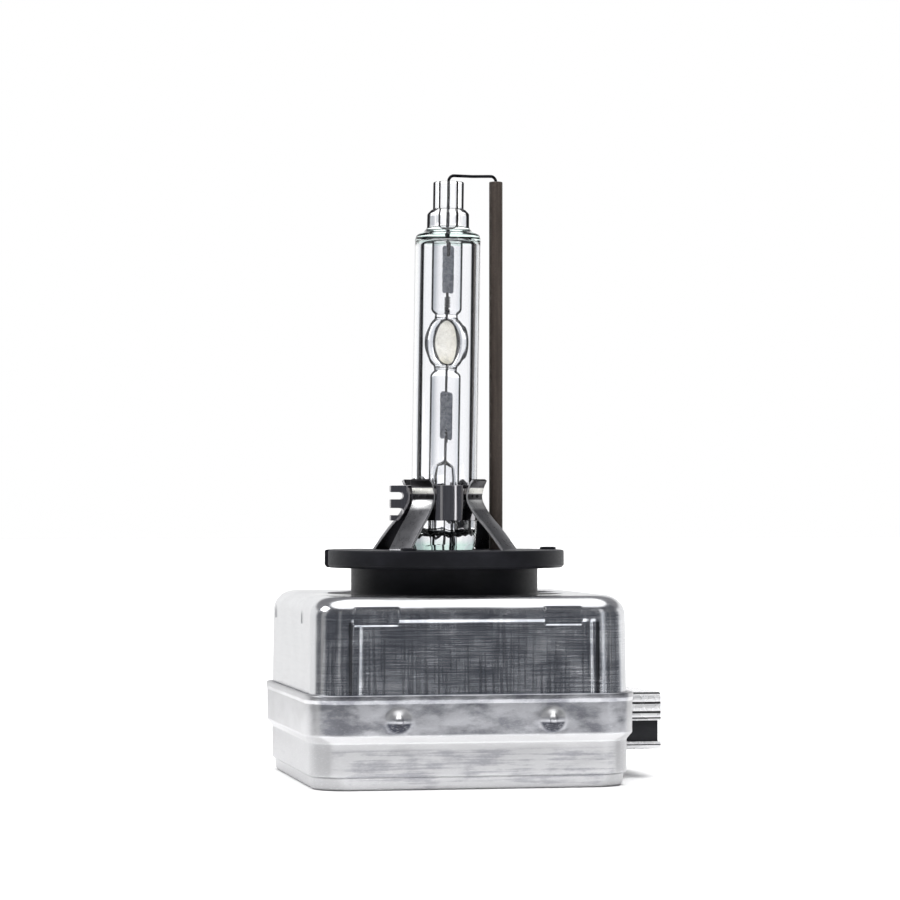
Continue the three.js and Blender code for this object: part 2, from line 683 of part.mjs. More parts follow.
add("connector_shroud", connectorShroud(), BRIGHT);
add("connector_body", connectorBody(), PLASTIC);
["left", "middle", "right"].forEach((place, i) => {
  const y = (i - 1) * PIN_SPACING;
  const taper = 0.6;
  const outline = [
    [PIN_ROOT_X, -PIN_HALF],
    [PIN_END_X - taper, -PIN_HALF],
    [PIN_END_X, -PIN_HALF / 2],
    [PIN_END_X, PIN_HALF / 2],
    [PIN_END_X - taper, PIN_HALF],
    [PIN_ROOT_X, PIN_HALF],
  ];
  add(`connector_pin_${place}`, plate(outline, 2 * PIN_HALF).translate([0, y, PIN_Z]), BRIGHT);
});

// ---- The igniter's housing ----------------------------------------------------------------------

function igniterHousing() {
  const [half, corner] = [HOUSING_HALF, 3];
  const outside = squareSlab(half, corner, HOUSING_BOTTOM_Z, HOUSING_TOP_Z);
  const ceiling = HOUSING_TOP_Z - HOUSING_WALL;
  const inside = squareSlab(half - HOUSING_WALL, corner - HOUSING_WALL, HOUSING_BOTTOM_Z - 1, ceiling);
  const [below, above] = [HOUSING_TOP_Z - 3, HOUSING_TOP_Z + 1];
  const housing = outside
    .subtract(inside)
    .subtract(rod(2.2, below, above, COARSE))
    .subtract(rod(0.8, below, above, SMALL).translate([RETURN_X, 0, 0]));
  return pinHoles(housing, 2 * GAP);
}

add("igniter_housing", igniterHousing(), PLASTIC);
add("potting_slab", squareSlab(HOUSING_HALF - HOUSING_WALL - 3 * GAP, 1.7, 2.5, 3.6), POTTING);
add("housing_lid", squareSlab(HOUSING_HALF, 3, 1.05, HOUSING_BOTTOM_Z - GAP), PLASTIC);

// ---- The transformer: a rod core along Y, left of the middle --------------------------------------

const CORE_X = -9.4;
const CORE_Z = 12.6;
const CORE_R = 2.6;
const BOBBIN_R = 3.4;
const CHEEK_R = 6.3;
const CHEEK = 0.8;
const CHAMBERS = 5;
const BOBBIN_HALF = 13.8;
const PITCH = (2 * BOBBIN_HALF - CHEEK) / (CHAMBERS + 1);
const onCore = (solid) => alongY(solid).translate([CORE_X, 0, CORE_Z]);

function transformerBobbin() {
  let bobbin = pipe(CORE_R + GAP, BOBBIN_R, -BOBBIN_HALF, BOBBIN_HALF, COARSE);
  for (let cheek = 0; cheek <= CHAMBERS + 1; cheek++) {
    const z = -BOBBIN_HALF + cheek * PITCH;
    bobbin = bobbin.add(pipe(CORE_R + GAP, CHEEK_R, z, z + CHEEK, COARSE));
  }
  return onCore(bobbin);
}

const winding = (chamber, radius) => {
  const start = -BOBBIN_HALF + CHEEK + chamber * PITCH + GAP;
  return onCore(pipe(BOBBIN_R + GAP, radius, start, start + PITCH - CHEEK - 2 * GAP, COARSE));
};

add("transformer_core", onCore(rod(CORE_R, -15, 15, COARSE)), FERRITE);
add("transformer_bobbin", transformerBobbin(), BOBBIN);
add("primary_winding", winding(0, 5.0), COPPER);
for (let chamber = 1; chamber <= CHAMBERS; chamber++) {
  add(`secondary_winding_${chamber}`, winding(chamber, 5.9 - 0.2 * chamber), COPPER);
}

// ---- Spark gap, capacitor and resistor ------------------------------------------------------------

const GAP_AT = [3.4, -11.2, 9.4];
const SPARK_HALF = 2.8;
add("spark_gap_body", alongX(rod(3.3, -SPARK_HALF, SPARK_HALF, COARSE)).translate(GAP_AT), WHITE_CERAMIC);
for (const [place, side] of [["left", -1], ["right", 1]]) {
  const cap = lathe([[0, 0], [3.5, 0], [3.5, 0.9], [1.4, 0.9], [1.4, 1.3], [0, 1.3]], COARSE);
  const turnedCap = side > 0 ? alongX(cap) : alongX(cap).mirror([1, 0, 0]);
  const [x, y, z] = GAP_AT;
  add(`spark_gap_cap_${place}`, turnedCap.translate([x + side * (SPARK_HALF + GAP), y, z]), BRIGHT);
}

const CAP_Y = 11.2;
add("capacitor_body", box(-1.4, 12.4, CAP_Y - 3.6, CAP_Y + 3.6, 6.8, 18.2), CAPACITOR);
for (const [place, x] of [["left", 0.6], ["right", 10.4]]) {
  add(`capacitor_leg_${place}`, rod(0.35, 3.8, 6.75, SMALL).translate([x, CAP_Y, 0]), BRIGHT);
}

const RESISTOR_AT = [5.2, 3.6, 15.4];
const RESISTOR_HALF = 3.2;
const resistorBody = lathe(
  [
    [0, -RESISTOR_HALF],
    [1.2, -RESISTOR_HALF],
    [1.3, -RESISTOR_HALF + 0.9],
    [1.05, -RESISTOR_HALF + 1.3],
    [1.05, RESISTOR_HALF - 1.3],
    [1.3, RESISTOR_HALF - 0.9],
    [1.2, RESISTOR_HALF],
    [0, RESISTOR_HALF],
  ],
  SMALL,
);
add("resistor_body", alongX(resistorBody).translate(RESISTOR_AT), RESISTOR);
for (const [place, side] of [["left", -1], ["right", 1]]) {
  const [x, y, z] = RESISTOR_AT;
  const start = x + side * (RESISTOR_HALF + GAP);
  const bend = arc([start + side * 0.8, z - 0.6], 0.6, 90, side > 0 ? 0 : 180, 4);
  const end = [start + side * 1.4, 11.4];
  add(`resistor_leg_${place}`, wire([[start, z], ...bend, end], 0.25, y), BRIGHT);
}

// ---- Stamped conductors and the burner's welding tab ----------------------------------------------

const BUS = 0.5; // sheet thickness
const BUS_END_X = PIN_ROOT_X - 0.4;
const hvContact = box(-1.4, 1.4, -0.6, 0.6, 19.6, 20.1).add(pipe(0.1, 0.8, 20.0, 22.2, SMALL));
add("hv_contact", hvContact.subtract(rod(LEAD_R + GAP, 19, 23, SMALL)), BRIGHT);

const lastWindingY = -BOBBIN_HALF + CHEEK + CHAMBERS * PITCH + (PITCH - CHEEK) / 2;
const hvBus = box(CORE_X - 0.9, 1.2, -0.9, 0.9, 19.05, 19.5)
  .add(box(CORE_X - 0.9, CORE_X + 0.9, -0.9, lastWindingY + 0.5, 19.05, 19.5))
  .add(box(CORE_X - 0.9, CORE_X + 0.9, lastWindingY - 0.2, lastWindingY + 0.5, 17.7, 19.5));
add("hv_bus", hvBus, COPPER);

const returnBus = box(RETURN_X - 0.8, BUS_END_X, -0.8, 0.8, 19.2, 19.7);
add("return_bus", returnBus.add(box(BUS_END_X - BUS, BUS_END_X, -0.8, 0.8, 6.9, 19.7)), COPPER);

const supplyBus = box(-1.2, BUS_END_X, -4.4, -2.8, 4.6, 5.1);
add("supply_bus", supplyBus.add(box(BUS_END_X - BUS, BUS_END_X, -4.4, -2.8, 4.6, 7.8)), COPPER);

export default bulb;
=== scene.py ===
"""The looks of a gas-discharge headlight bulb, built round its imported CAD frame.

Sizes are in millimetres, +Z up, and become metres where a mesh is made.
"""
import json
import math

import bmesh
import bpy
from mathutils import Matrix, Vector, noise


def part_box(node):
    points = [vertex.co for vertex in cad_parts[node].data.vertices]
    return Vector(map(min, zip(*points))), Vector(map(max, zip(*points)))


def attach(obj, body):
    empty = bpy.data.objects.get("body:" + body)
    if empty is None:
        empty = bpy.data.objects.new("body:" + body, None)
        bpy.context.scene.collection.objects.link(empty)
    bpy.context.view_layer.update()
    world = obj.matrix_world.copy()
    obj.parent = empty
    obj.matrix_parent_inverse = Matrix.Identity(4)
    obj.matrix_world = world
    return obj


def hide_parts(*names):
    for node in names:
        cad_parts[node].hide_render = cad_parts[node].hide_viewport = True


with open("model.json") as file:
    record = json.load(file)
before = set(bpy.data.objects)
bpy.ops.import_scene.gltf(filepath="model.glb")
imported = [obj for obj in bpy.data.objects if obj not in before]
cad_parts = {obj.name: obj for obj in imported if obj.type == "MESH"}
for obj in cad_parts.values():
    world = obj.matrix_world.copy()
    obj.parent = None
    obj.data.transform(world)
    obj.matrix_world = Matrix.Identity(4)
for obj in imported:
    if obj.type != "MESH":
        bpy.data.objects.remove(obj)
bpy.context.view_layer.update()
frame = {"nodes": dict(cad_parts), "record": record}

MM = 0.001


# ---- Places, read from the frame -----------------------------------------------------------------


class Span:
    """A CAD node's box, in millimetres."""

    def __init__(self, node):
        low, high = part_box(node)
        self.x0, self.y0, self.z0 = (v / MM for v in low)
        self.x1, self.y1, self.z1 = (v / MM for v in high)
        self.middle_x = (self.x0 + self.x1) / 2
        self.middle_z = (self.z0 + self.z1) / 2


CAN = Span("shield_can")
TRAY = Span("bottom_tray")
BASE = Span("lamp_base")
TUBE = Span("outer_envelope")
BURNER = Span("arc_tube")
SLEEVE = Span("clamp_sleeve")
LEG = Span("leg_rear_right")
CERAMIC = Span("ceramic_tube")
RETURN = Span("return_lead")
UPPER_FOIL = Span("upper_foil")
LOWER_FOIL = Span("lower_foil")
UPPER_PIN = Span("upper_electrode")
LOWER_PIN = Span("lower_electrode")
UPPER_LEAD = Span("upper_lead")
LOWER_LEAD = Span("lower_lead")
SHROUD = Span("connector_shroud")
PLUG = Span("connector_body")
MOUNTS = {mount["name"]: mount for mount in frame["record"]["mounts"]}
REFERENCE_Z = MOUNTS["reference_plane"]["pos_m"][2] / MM
ARC_Z = (UPPER_PIN.z0 + LOWER_PIN.z1) / 2

CAN_HALF = CAN.x1
CAN_DRAFT = 0.2  # how much narrower the can is at its top than at its bottom
CAN_CORNER = 4.2
CAN_EDGE = 2.6
CAN_HOLE_R = 16.0
PANEL_HALF = 15.35  # half the width of the panel pressed into the can's front and back
PANEL_TOP_Z = 20.75
SHEET = 0.6

TRAY_BAND_HALF = TRAY.x1
TRAY_HALF = TRAY_BAND_HALF - 0.7
TRAY_CORNER = 4.3
TRAY_STEP_Z = 6.4
NIB_X = 9.8
NIB_Z = 8.7

DISC_R = 15.65
DISC_BOTTOM_Z = REFERENCE_Z - 2.3
DRUM_R = 12.2
SPIGOT_R = 15.6
BOSS_RING_R = 13.9
FLANGE_R = BASE.x1
FLANGE_TOP_Z = BASE.z0 + 1.4
SPIGOT_TOP_Z = CAN.z1 - 0.25

TUBE_R = TUBE.x1
TUBE_BORE_R = TUBE_R - 0.9
BURNER_R = 2.0
CHAMBER_R = 1.62
CHAMBER_HALF = 2.8
LOWER_BORE_Z = 41.5  # where the bores of the two tail tubes end in the glass
UPPER_BORE_Z = 70.6
TAIL_BORE_R = 1.2
SLEEVE_R = TUBE_R + 0.17
LEG_WIDTH = 3.3
LEG_THICK = 0.4
LEG_TURNS = {"leg_rear_right": 45, "leg_rear_left": 135, "leg_front_left": 225, "leg_front_right": 315}


# ---- Mesh building -------------------------------------------------------------------------------

WELD_REACH = 0.004  # points closer together than this are joined after a cut


def shell(verts, faces, inward=False, material=0):
    """One closed surface as a bmesh, facing out, or into a hollow."""
    surface = bmesh.new()
    made = [surface.verts.new(Vector(v) * MM) for v in verts]
    for face in faces:
        surface.faces.new([made[i] for i in face])
    bmesh.ops.recalc_face_normals(surface, faces=surface.faces)
    if inward:
        bmesh.ops.reverse_faces(surface, faces=surface.faces)
    for face in surface.faces:
        face.material_index = material
    return surface


def piece(name, shells, materials, nodes=(), crease=32):
    """A named piece of the object, riding on its one body, standing for the CAD nodes given."""
    whole = bpy.data.meshes.new(name)
    joined = bmesh.new()
    for surface in shells:
        part = bpy.data.meshes.new("part")
        surface.to_mesh(part)
        surface.free()
        joined.from_mesh(part)
        bpy.data.meshes.remove(part)
    joined.to_mesh(whole)
    joined.free()
    for material in materials:
        whole.materials.append(material)
    made = bpy.data.objects.new(name, whole)
    bpy.context.scene.collection.objects.link(made)
    shade(made, crease)
    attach(made, "root")
    if nodes:
        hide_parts(*nodes)
    return made


def shade(made, crease):
    made.data.shade_smooth()
    made.data.set_sharp_from_angle(angle=math.radians(crease))


def apply_modifiers(made):
    """Writes what the modifiers make into the mesh."""
    graph = bpy.context.evaluated_depsgraph_get()
    final = bpy.data.meshes.new_from_object(made.evaluated_get(graph))
    old = made.data
    made.modifiers.clear()
    made.data = final
    bpy.data.meshes.remove(old)


def carve(made, cutters, operation="DIFFERENCE", crease=32):
    """Cuts the cutters' solids out of a piece, or joins them to it."""
    tools = []
    for number, surface in enumerate(cutters):
        mesh = bpy.data.meshes.new(f"cutter_{number}")
        surface.to_mesh(mesh)
        surface.free()
        tool = bpy.data.objects.new(mesh.name, mesh)
        bpy.context.scene.collection.objects.link(tool)
        tools.append(tool)
        cut = made.modifiers.new(mesh.name, "BOOLEAN")
        cut.operation = operation
        cut.solver = "EXACT"
        cut.object = tool
    apply_modifiers(made)
    for tool in tools:
        mesh = tool.data
        bpy.data.objects.remove(tool)
        bpy.data.meshes.remove(mesh)
    weld(made)
    shade(made, crease)


def weld(made):
    """Joins the points that cutting leaves close together, and drops what has no area."""
    surface = bmesh.new()
    surface.from_mesh(made.data)
    bmesh.ops.remove_doubles(surface, verts=surface.verts, dist=WELD_REACH * MM)
    bmesh.ops.dissolve_degenerate(surface, edges=surface.edges, dist=WELD_REACH * MM / 2)
    loose = [edge for edge in surface.edges if not edge.link_faces]
    bmesh.ops.delete(surface, geom=loose, context="EDGES")
    surface.to_mesh(made.data)
    surface.free()


def bevel(made, width, angle, crease=32):
    """Rounds a piece's sharp edges."""
    edge = made.modifiers.new("edges", "BEVEL")
    edge.width = width * MM
    edge.segments = 2
    edge.limit_method = "ANGLE"
    edge.angle_limit = math.radians(angle)
    edge.use_clamp_overlap = True
    edge.miter_outer = "MITER_ARC"
    apply_modifiers(made)
    shade(made, crease)


def skin(rings, closed_rows=False):
    """Points and faces of a surface through rings of equal length, with caps unless its rows close up."""
    count, rows = len(rings[0]), len(rings)
    verts = [point for ring in rings for point in ring]
    faces = []
    for row in range(rows if closed_rows else rows - 1):
        here, after = row * count, (row + 1) % rows * count
        for i in range(count):
            j = (i + 1) % count
            faces.append((here + i, here + j, after + j, after + i))
    if not closed_rows:
        faces.append(tuple(range(count)))
        faces.append(tuple(range((rows - 1) * count, rows * count)))
    return verts, faces


def lathe(profile, sides=128, centre=(0.0, 0.0)):
    """A solid of revolution about Z. Its (radius, z) profile ends on the axis, or closes up."""
    verts, rows, faces = [], [], []
    for radius, z in profile:
        first = len(verts)
        count = sides if radius > 1e-6 else 1
        for i in range(count):
            angle = 2 * math.pi * i / sides
            verts.append((centre[0] + radius * math.cos(angle), centre[1] + radius * math.sin(angle), z))
        rows.append(range(first, first + count))
    pairs = list(zip(rows, rows[1:]))
    if profile[0][0] > 1e-6:
        pairs.append((rows[-1], rows[0]))
    for below, above in pairs:
        for i in range(sides):
            j = (i + 1) % sides
            corners = [row[k % len(row)] for row, k in ((below, i), (below, j), (above, j), (above, i))]
            face = list(dict.fromkeys(corners))
            if len(face) > 2:
                faces.append(face)
    return verts, faces


def soften(points, closed=False, steps=4):
    """Rounds the corners of an outline. A point (u, v, radius) is rounded, and a point (u, v) stays sharp."""
    out = []
    for i, point in enumerate(points):
        here = Vector(point[:2])
        ends = not closed and i in (0, len(points) - 1)
        if len(point) < 3 or ends:
            out.append(tuple(here))
            continue
        before = Vector(points[i - 1][:2]) - here
        after = Vector(points[(i + 1) % len(points)][:2]) - here
        half_angle = before.angle(after) / 2
        reach = min(point[2] / math.tan(half_angle), 0.49 * before.length, 0.49 * after.length)
        start = here + before.normalized() * reach
        end = here + after.normalized() * reach
        for step in range(steps + 1):
            t = step / steps
            out.append(tuple(start * (1 - t) ** 2 + here * 2 * t * (1 - t) + end * t * t))
    return out


def catmull_rom(a, b, c, d, t):
    """The point at t on the curve from b to c."""
    cubic = 3 * b - a - 3 * c + d
    return 0.5 * (2 * b + (c - a) * t + (2 * a - 5 * b + 4 * c - d) * t * t + cubic * t ** 3)


def smooth_path(points, steps):
    """A smooth curve through points, with steps between each pair."""
    points = [Vector(p) for p in points]
    line = [2 * points[0] - points[1], *points, 2 * points[-1] - points[-2]]
    out = []
    for four in zip(line, line[1:], line[2:], line[3:]):
        out += [catmull_rom(*four, step / steps) for step in range(steps)]
    return [*out, points[-1]]


def tangents_of(path):
    """The direction along a path at each of its points."""
    last = len(path) - 1
    return [(path[min(i + 1, last)] - path[max(i - 1, 0)]).normalized() for i in range(len(path))]


def tube(path, radius, sides=16):
    """A round wire along a path, with rounded ends. Radius may be a function of the share along it."""
    radius_at = radius if callable(radius) else (lambda share: radius)
    last = len(path) - 1
    turns = [2 * math.pi * i / sides for i in range(sides)]
    tangents = tangents_of(path)
    across = tangents[0].orthogonal().normalized()
    rings = []

    def add_ring(middle, size):
        up = tangent.cross(across).normalized()
        rings.append([middle + size * (across * math.cos(a) + up * math.sin(a)) for a in turns])

    def add_end(middle, direction, lifts):
        for lift in lifts:
            add_ring(middle + tangent * size * direction * 0.7 * lift, size * math.sqrt(1 - lift * lift))

    for i, (middle, tangent) in enumerate(zip(path, tangents)):
        across = (across - tangent * across.dot(tangent)).normalized()
        size = radius_at(i / last)
        if i == 0:
            add_end(middle, -1, (0.98, 0.8, 0.45))
        add_ring(middle, size)
        if i == last:
            add_end(middle, 1, (0.45, 0.8, 0.98))
    return skin(rings)


def block(x0, x1, y0, y1, z0, z1):
    """A plain box, as a cutter."""
    ring = [(x0, y0), (x1, y0), (x1, y1), (x0, y1)]
    return skin([[(x, y, z0) for x, y in ring], [(x, y, z1) for x, y in ring]])


def turned(verts, degrees):
    """The points turned about the lamp's axis."""
    c, s = math.cos(math.radians(degrees)), math.sin(math.radians(degrees))
    return [(x * c - y * s, x * s + y * c, z) for x, y, z in verts]


def ease(value, low, high):
    """0 below low, 1 above high, and smooth between."""
    t = min(max((value - low) / (high - low), 0.0), 1.0)
    return t * t * (3 - 2 * t)


def bump_in(value, low, high, soft):
    """1 between low and high, 0 outside, with soft edges."""
    return ease(value, low - soft, low) * (1 - ease(value, high, high + soft))


def steps_between(low, high, count):
    return [low + (high - low) * i / count for i in range(count + 1)]


# ---- Materials -----------------------------------------------------------------------------------


class Nodes:
    """The node tree of a material or a world, with short ways to add to it."""

    def __init__(self, owner):
        owner.use_nodes = True
        self.nodes = owner.node_tree.nodes
        self.links = owner.node_tree.links

    def node(self, kind, **settings):
        made = self.nodes.new(kind)
        for setting, value in settings.items():
            setattr(made, setting, value)
        return made

    def feed(self, socket, value):
        """Gives an input a colour or a number, or links it to an output."""
        if isinstance(value, tuple):
            socket.default_value = (*value, 1)
        elif isinstance(value, (int, float)):
            socket.default_value = value
        else:
            self.links.new(value, socket)

    def spread(self, value, low, high, to_low=0.0, to_high=1.0):
        """The value's range from low to high, spread smoothly over another range."""
        made = self.node("ShaderNodeMapRange", interpolation_type="SMOOTHSTEP")
        given = {"Value": value, "From Min": low, "From Max": high, "To Min": to_low, "To Max": to_high}
        for name, number in given.items():
            self.feed(made.inputs[name], number)
        return made.outputs["Result"]

    def fade(self, value, low, high):
        """1 where the value is under low, 0 where it is over high."""
        return self.spread(value, low, high, 1.0, 0.0)

    def between(self, value, rise, fall):
        """1 between the range of values that it rises over and the one that it falls over, and 0 outside."""
        return self.times(self.spread(value, *rise), self.fade(value, *fall))

    def math(self, operation, a, b=0.0):
        made = self.node("ShaderNodeMath", operation=operation)
        self.feed(made.inputs[0], a)
        self.feed(made.inputs[1], b)
        return made.outputs["Value"]

    def times(self, product, *others):
        for other in others:
            product = self.math("MULTIPLY", product, other)
        return product

    def mix(self, share, a, b):
        """Colour a where share is 0 and b where it is 1."""
        made = self.node("ShaderNodeMix", data_type="RGBA")
        self.feed(made.inputs["Factor"], share)
        self.feed(made.inputs[6], a)
        self.feed(made.inputs[7], b)
        return made.outputs[2]

    def tones(self, value, low, high, a, b):
        """Colour a where the value is under low and b where it is over high."""
        return self.mix(self.spread(value, low, high), a, b)


class Shader(Nodes):
    """A node material with the object's own coordinates in millimetres."""

    def __init__(self, name, color, roughness, metallic=0.0, **sockets):
        self.material = bpy.data.materials.new(name)
        super().__init__(self.material)
        self.surface = self.nodes["Principled BSDF"]
        sockets.update(Base_Color=color, Roughness=roughness, Metallic=metallic)
        for socket, value in sockets.items():
            self.feed(self.surface.inputs[socket.replace("_", " ")], value)
        self.place = self.node("ShaderNodeTexCoord").outputs["Object"]
        self.height = None

    def texture(self, kind, size, stretch=(1, 1, 1), **inputs):
        """A texture with features of about this size, in millimetres, longer along a stretched axis."""
        mapping = self.node("ShaderNodeMapping")
        self.links.new(self.place, mapping.inputs["Vector"])
        mapping.inputs["Scale"].default_value = [1 / (MM * size * s) for s in stretch]
        made = self.node(kind)
        self.links.new(mapping.outputs["Vector"], made.inputs["Vector"])
        for name, value in {"Scale": 1.0, **inputs}.items():
            made.inputs[name].default_value = value
        return made

    def noise(self, size, stretch=(1, 1, 1), detail=4.0, rough=0.6):
        """Noise from 0 to 1."""
        made = self.texture("ShaderNodeTexNoise", size, stretch, Detail=detail, Roughness=rough)
        return made.outputs["Fac"]

    def share(self, value, at_none, at_all):
        """A share from 0 to 1, spread smoothly from one number to another."""
        return self.spread(value, 0.0, 1.0, at_none, at_all)

    def along(self, axis):
        """The position along an axis, in millimetres."""
        split = self.node("ShaderNodeSeparateXYZ")
        self.links.new(self.place, split.inputs[0])
        return self.times(split.outputs[axis], 1 / MM)

    def out_along(self, axis):
        """The distance from the lamp's axis along X or Y, to either side."""
        return self.math("ABSOLUTE", self.along(axis))

    def facing(self):
        """0 where a surface faces the viewer, 1 where it is seen edge-on."""
        made = self.node("ShaderNodeLayerWeight")
        made.inputs["Blend"].default_value = 0.5
        return made.outputs["Facing"]

    def color(self, socket):
        self.links.new(socket, self.surface.inputs["Base Color"])

    def roughness(self, socket):
        self.links.new(socket, self.surface.inputs["Roughness"])

    def bump(self, height, depth, strength=1.0):
        """Adds a bump of this depth, in millimetres."""
        made = self.node("ShaderNodeBump")
        made.inputs["Strength"].default_value = strength
        made.inputs["Distance"].default_value = depth * MM
        self.links.new(height, made.inputs["Height"])
        if self.height:
            self.links.new(self.height, made.inputs["Normal"])
        self.height = made.outputs["Normal"]
        self.links.new(self.height, self.surface.inputs["Normal"])

    def plain(self, kind, color=(1.0, 1.0, 1.0)):
        """A shader with only a colour, such as Diffuse."""
        made = self.node(f"ShaderNodeBsdf{kind}")
        self.feed(made.inputs["Color"], color)
        return made.outputs["BSDF"]

    def cover(self, share, under, over):
        """One shader, with another over this share of it."""
        made = self.node("ShaderNodeMixShader")
        for socket, value in zip(made.inputs, (share, under, over)):
            self.feed(socket, value)
        return made.outputs["Shader"]

    def finish(self, shader):
        """Makes a shader the material's own, in place of the plain surface."""
        self.links.new(shader, self.nodes["Material Output"].inputs["Surface"])


def scaled(color, factor):
    return tuple(min(c * factor, 1.0) for c in color)


def can_metal():
    """Drawn aluminium with fine crossed rolling lines, faint stains, and painted shade down the ends of the
    pressed panel.
    """
    m = Shader("can_metal", (0.74, 0.75, 0.78), 0.2, 1.0)
    upright = m.noise(0.34, (1, 1, 50), detail=5, rough=0.65)
    level = m.noise(0.12, (60, 60, 1), detail=6, rough=0.72)
    cloud = m.noise(5.0, detail=3)
    patch = m.noise(3.2, (1.4, 1.4, 1), detail=3)
    out_x, z = m.out_along("X"), m.along("Z")
    front = m.spread(m.out_along("Y"), 18.6, 19.6)
    brushed = m.times(level, m.spread(patch, 0.35, 0.65, 0.8, 1.15))
    lines = m.tones(brushed, 0.34, 0.64, (0.4, 0.425, 0.475), (0.92, 0.94, 0.98))
    crossing = m.times(m.spread(upright, 0.46, 0.58), m.spread(z, 15.0, 20.0, 0.85, 0.4))
    lines = m.mix(crossing, lines, (0.27, 0.29, 0.33))
    worn = m.tones(cloud, 0.4, 0.65, (0.76, 0.765, 0.78), (0.83, 0.835, 0.85))
    on_wall = m.times(front, m.fade(z, PANEL_TOP_Z + 0.85, PANEL_TOP_Z + 1.85))
    tone = m.mix(m.share(on_wall, 0.16, 0.8), worn, lines)
    beside = m.times(m.spread(out_x, 19.5, 20.4), m.fade(z, 21.6, 23.2), m.share(front, 0.9, 0.0))
    tone = m.mix(beside, tone, (0.68, 0.685, 0.7))
    brow = m.times(m.between(z, (22.3, 22.7), (23.5, 23.8)), front, m.spread(patch, 0.35, 0.6, 0.2, 0.6))
    tone = m.mix(brow, tone, (0.52, 0.53, 0.56))
    # Painted shade: a near-black line down each end of the pressed panel, where its crease lies in shade.
    edge = m.between(out_x, (PANEL_HALF + 0.05, PANEL_HALF + 0.25), (PANEL_HALF + 0.5, PANEL_HALF + 0.75))
    panel_edge_shade = m.times(edge, front, m.fade(z, PANEL_TOP_Z - 0.05, PANEL_TOP_Z + 0.35), 0.85)
    m.color(m.mix(panel_edge_shade, tone, (0.05, 0.05, 0.06)))
    m.roughness(m.math("ADD", m.spread(level, 0.3, 0.7, 0.14, 0.24), m.spread(cloud, 0.4, 0.7, 0.0, 0.05)))
    m.bump(level, 0.0022, 0.5)
    m.bump(upright, 0.003, 0.4)
    m.bump(cloud, 0.03, 0.25)
    return m.material


def tray_metal():
    """Pressed aluminium, handled and smeared: soft blotches and level streaks, with a painted highlight above
    each nib and a painted shadow under it.
    """
    m = Shader("tray_metal", (0.78, 0.78, 0.8), 0.4, 1.0)
    cloud = m.noise(2.6, (1.9, 1.9, 0.9), detail=5)
    streak = m.noise(0.4, (30, 30, 1))
    fine = m.noise(0.14, (3, 3, 1))
    z = m.along("Z")
    front = m.spread(m.out_along("Y"), 19.5, 20.3)
    on_band = m.spread(z, TRAY_STEP_Z + 0.1, TRAY_STEP_Z + 0.8)
    blotched = m.tones(cloud, 0.36, 0.62, (0.24, 0.245, 0.275), (0.55, 0.555, 0.585))
    calm = m.tones(cloud, 0.36, 0.62, (0.54, 0.54, 0.55), (0.6, 0.6, 0.61))
    band = m.mix(m.share(front, 0.1, 0.95), calm, blotched)
    smear = m.times(cloud, streak, m.share(front, 1.5, 1.0))
    lower = m.tones(smear, 0.17, 0.3, (0.4, 0.4, 0.43), (0.64, 0.64, 0.65))
    lower = m.tones(z, TRAY_STEP_Z - 1.7, TRAY_STEP_Z - 1.1, lower, (0.66, 0.66, 0.67))
    lower = m.mix(m.share(front, 0.85, 0.0), lower, (0.44, 0.44, 0.45))
    across = m.math("SUBTRACT", m.out_along("X"), NIB_X)
    up = m.math("SUBTRACT", z, NIB_Z)
    reach = m.math("SQRT", m.math("ADD", m.times(across, across), m.times(up, up)))
    near_nib = m.times(m.fade(reach, 1.35, 1.9), front)
    tone = m.mix(on_band, lower, band)
    # Painted highlight: the metal is made near white just above each nib.
    tone = m.mix(m.times(near_nib, m.spread(up, 0.1, 0.5), 0.9), tone, (0.97, 0.97, 0.97))
    # Painted shadow: the metal is made near black just under each nib.
    tone = m.mix(m.times(near_nib, m.fade(up, -0.45, -0.15), 0.92), tone, (0.03, 0.032, 0.045))
    m.color(m.mix(m.spread(fine, 0.5, 0.72, 0.0, 0.18), tone, (0.88, 0.88, 0.9)))
    m.roughness(m.mix(on_band, (0.42, 0.42, 0.42), m.spread(cloud, 0.35, 0.65, 0.3, 0.4)))
    m.bump(cloud, 0.07, 0.3)
    m.bump(fine, 0.006, 0.4)
    return m.material


def moulded_plastic(name, color):
    """Black glass-filled plastic: a fine moulded grain with faint flow marks."""
    m = Shader(name, color, 0.52, Specular_IOR_Level=0.16)
    grain = m.noise(0.18, detail=3)
    m.color(m.tones(m.noise(3.0, (2, 2, 1)), 0.35, 0.7, color, scaled(color, 1.7)))
    m.roughness(m.spread(grain, 0.3, 0.7, 0.36, 0.52))
    m.bump(grain, 0.012, 0.5)
    return m.material


QUARTZ_IOR = 1.458
CLEAR = (0.975, 0.977, 0.987)
CLEAR_OUTSIDE = (0.975, 0.98, 0.995)


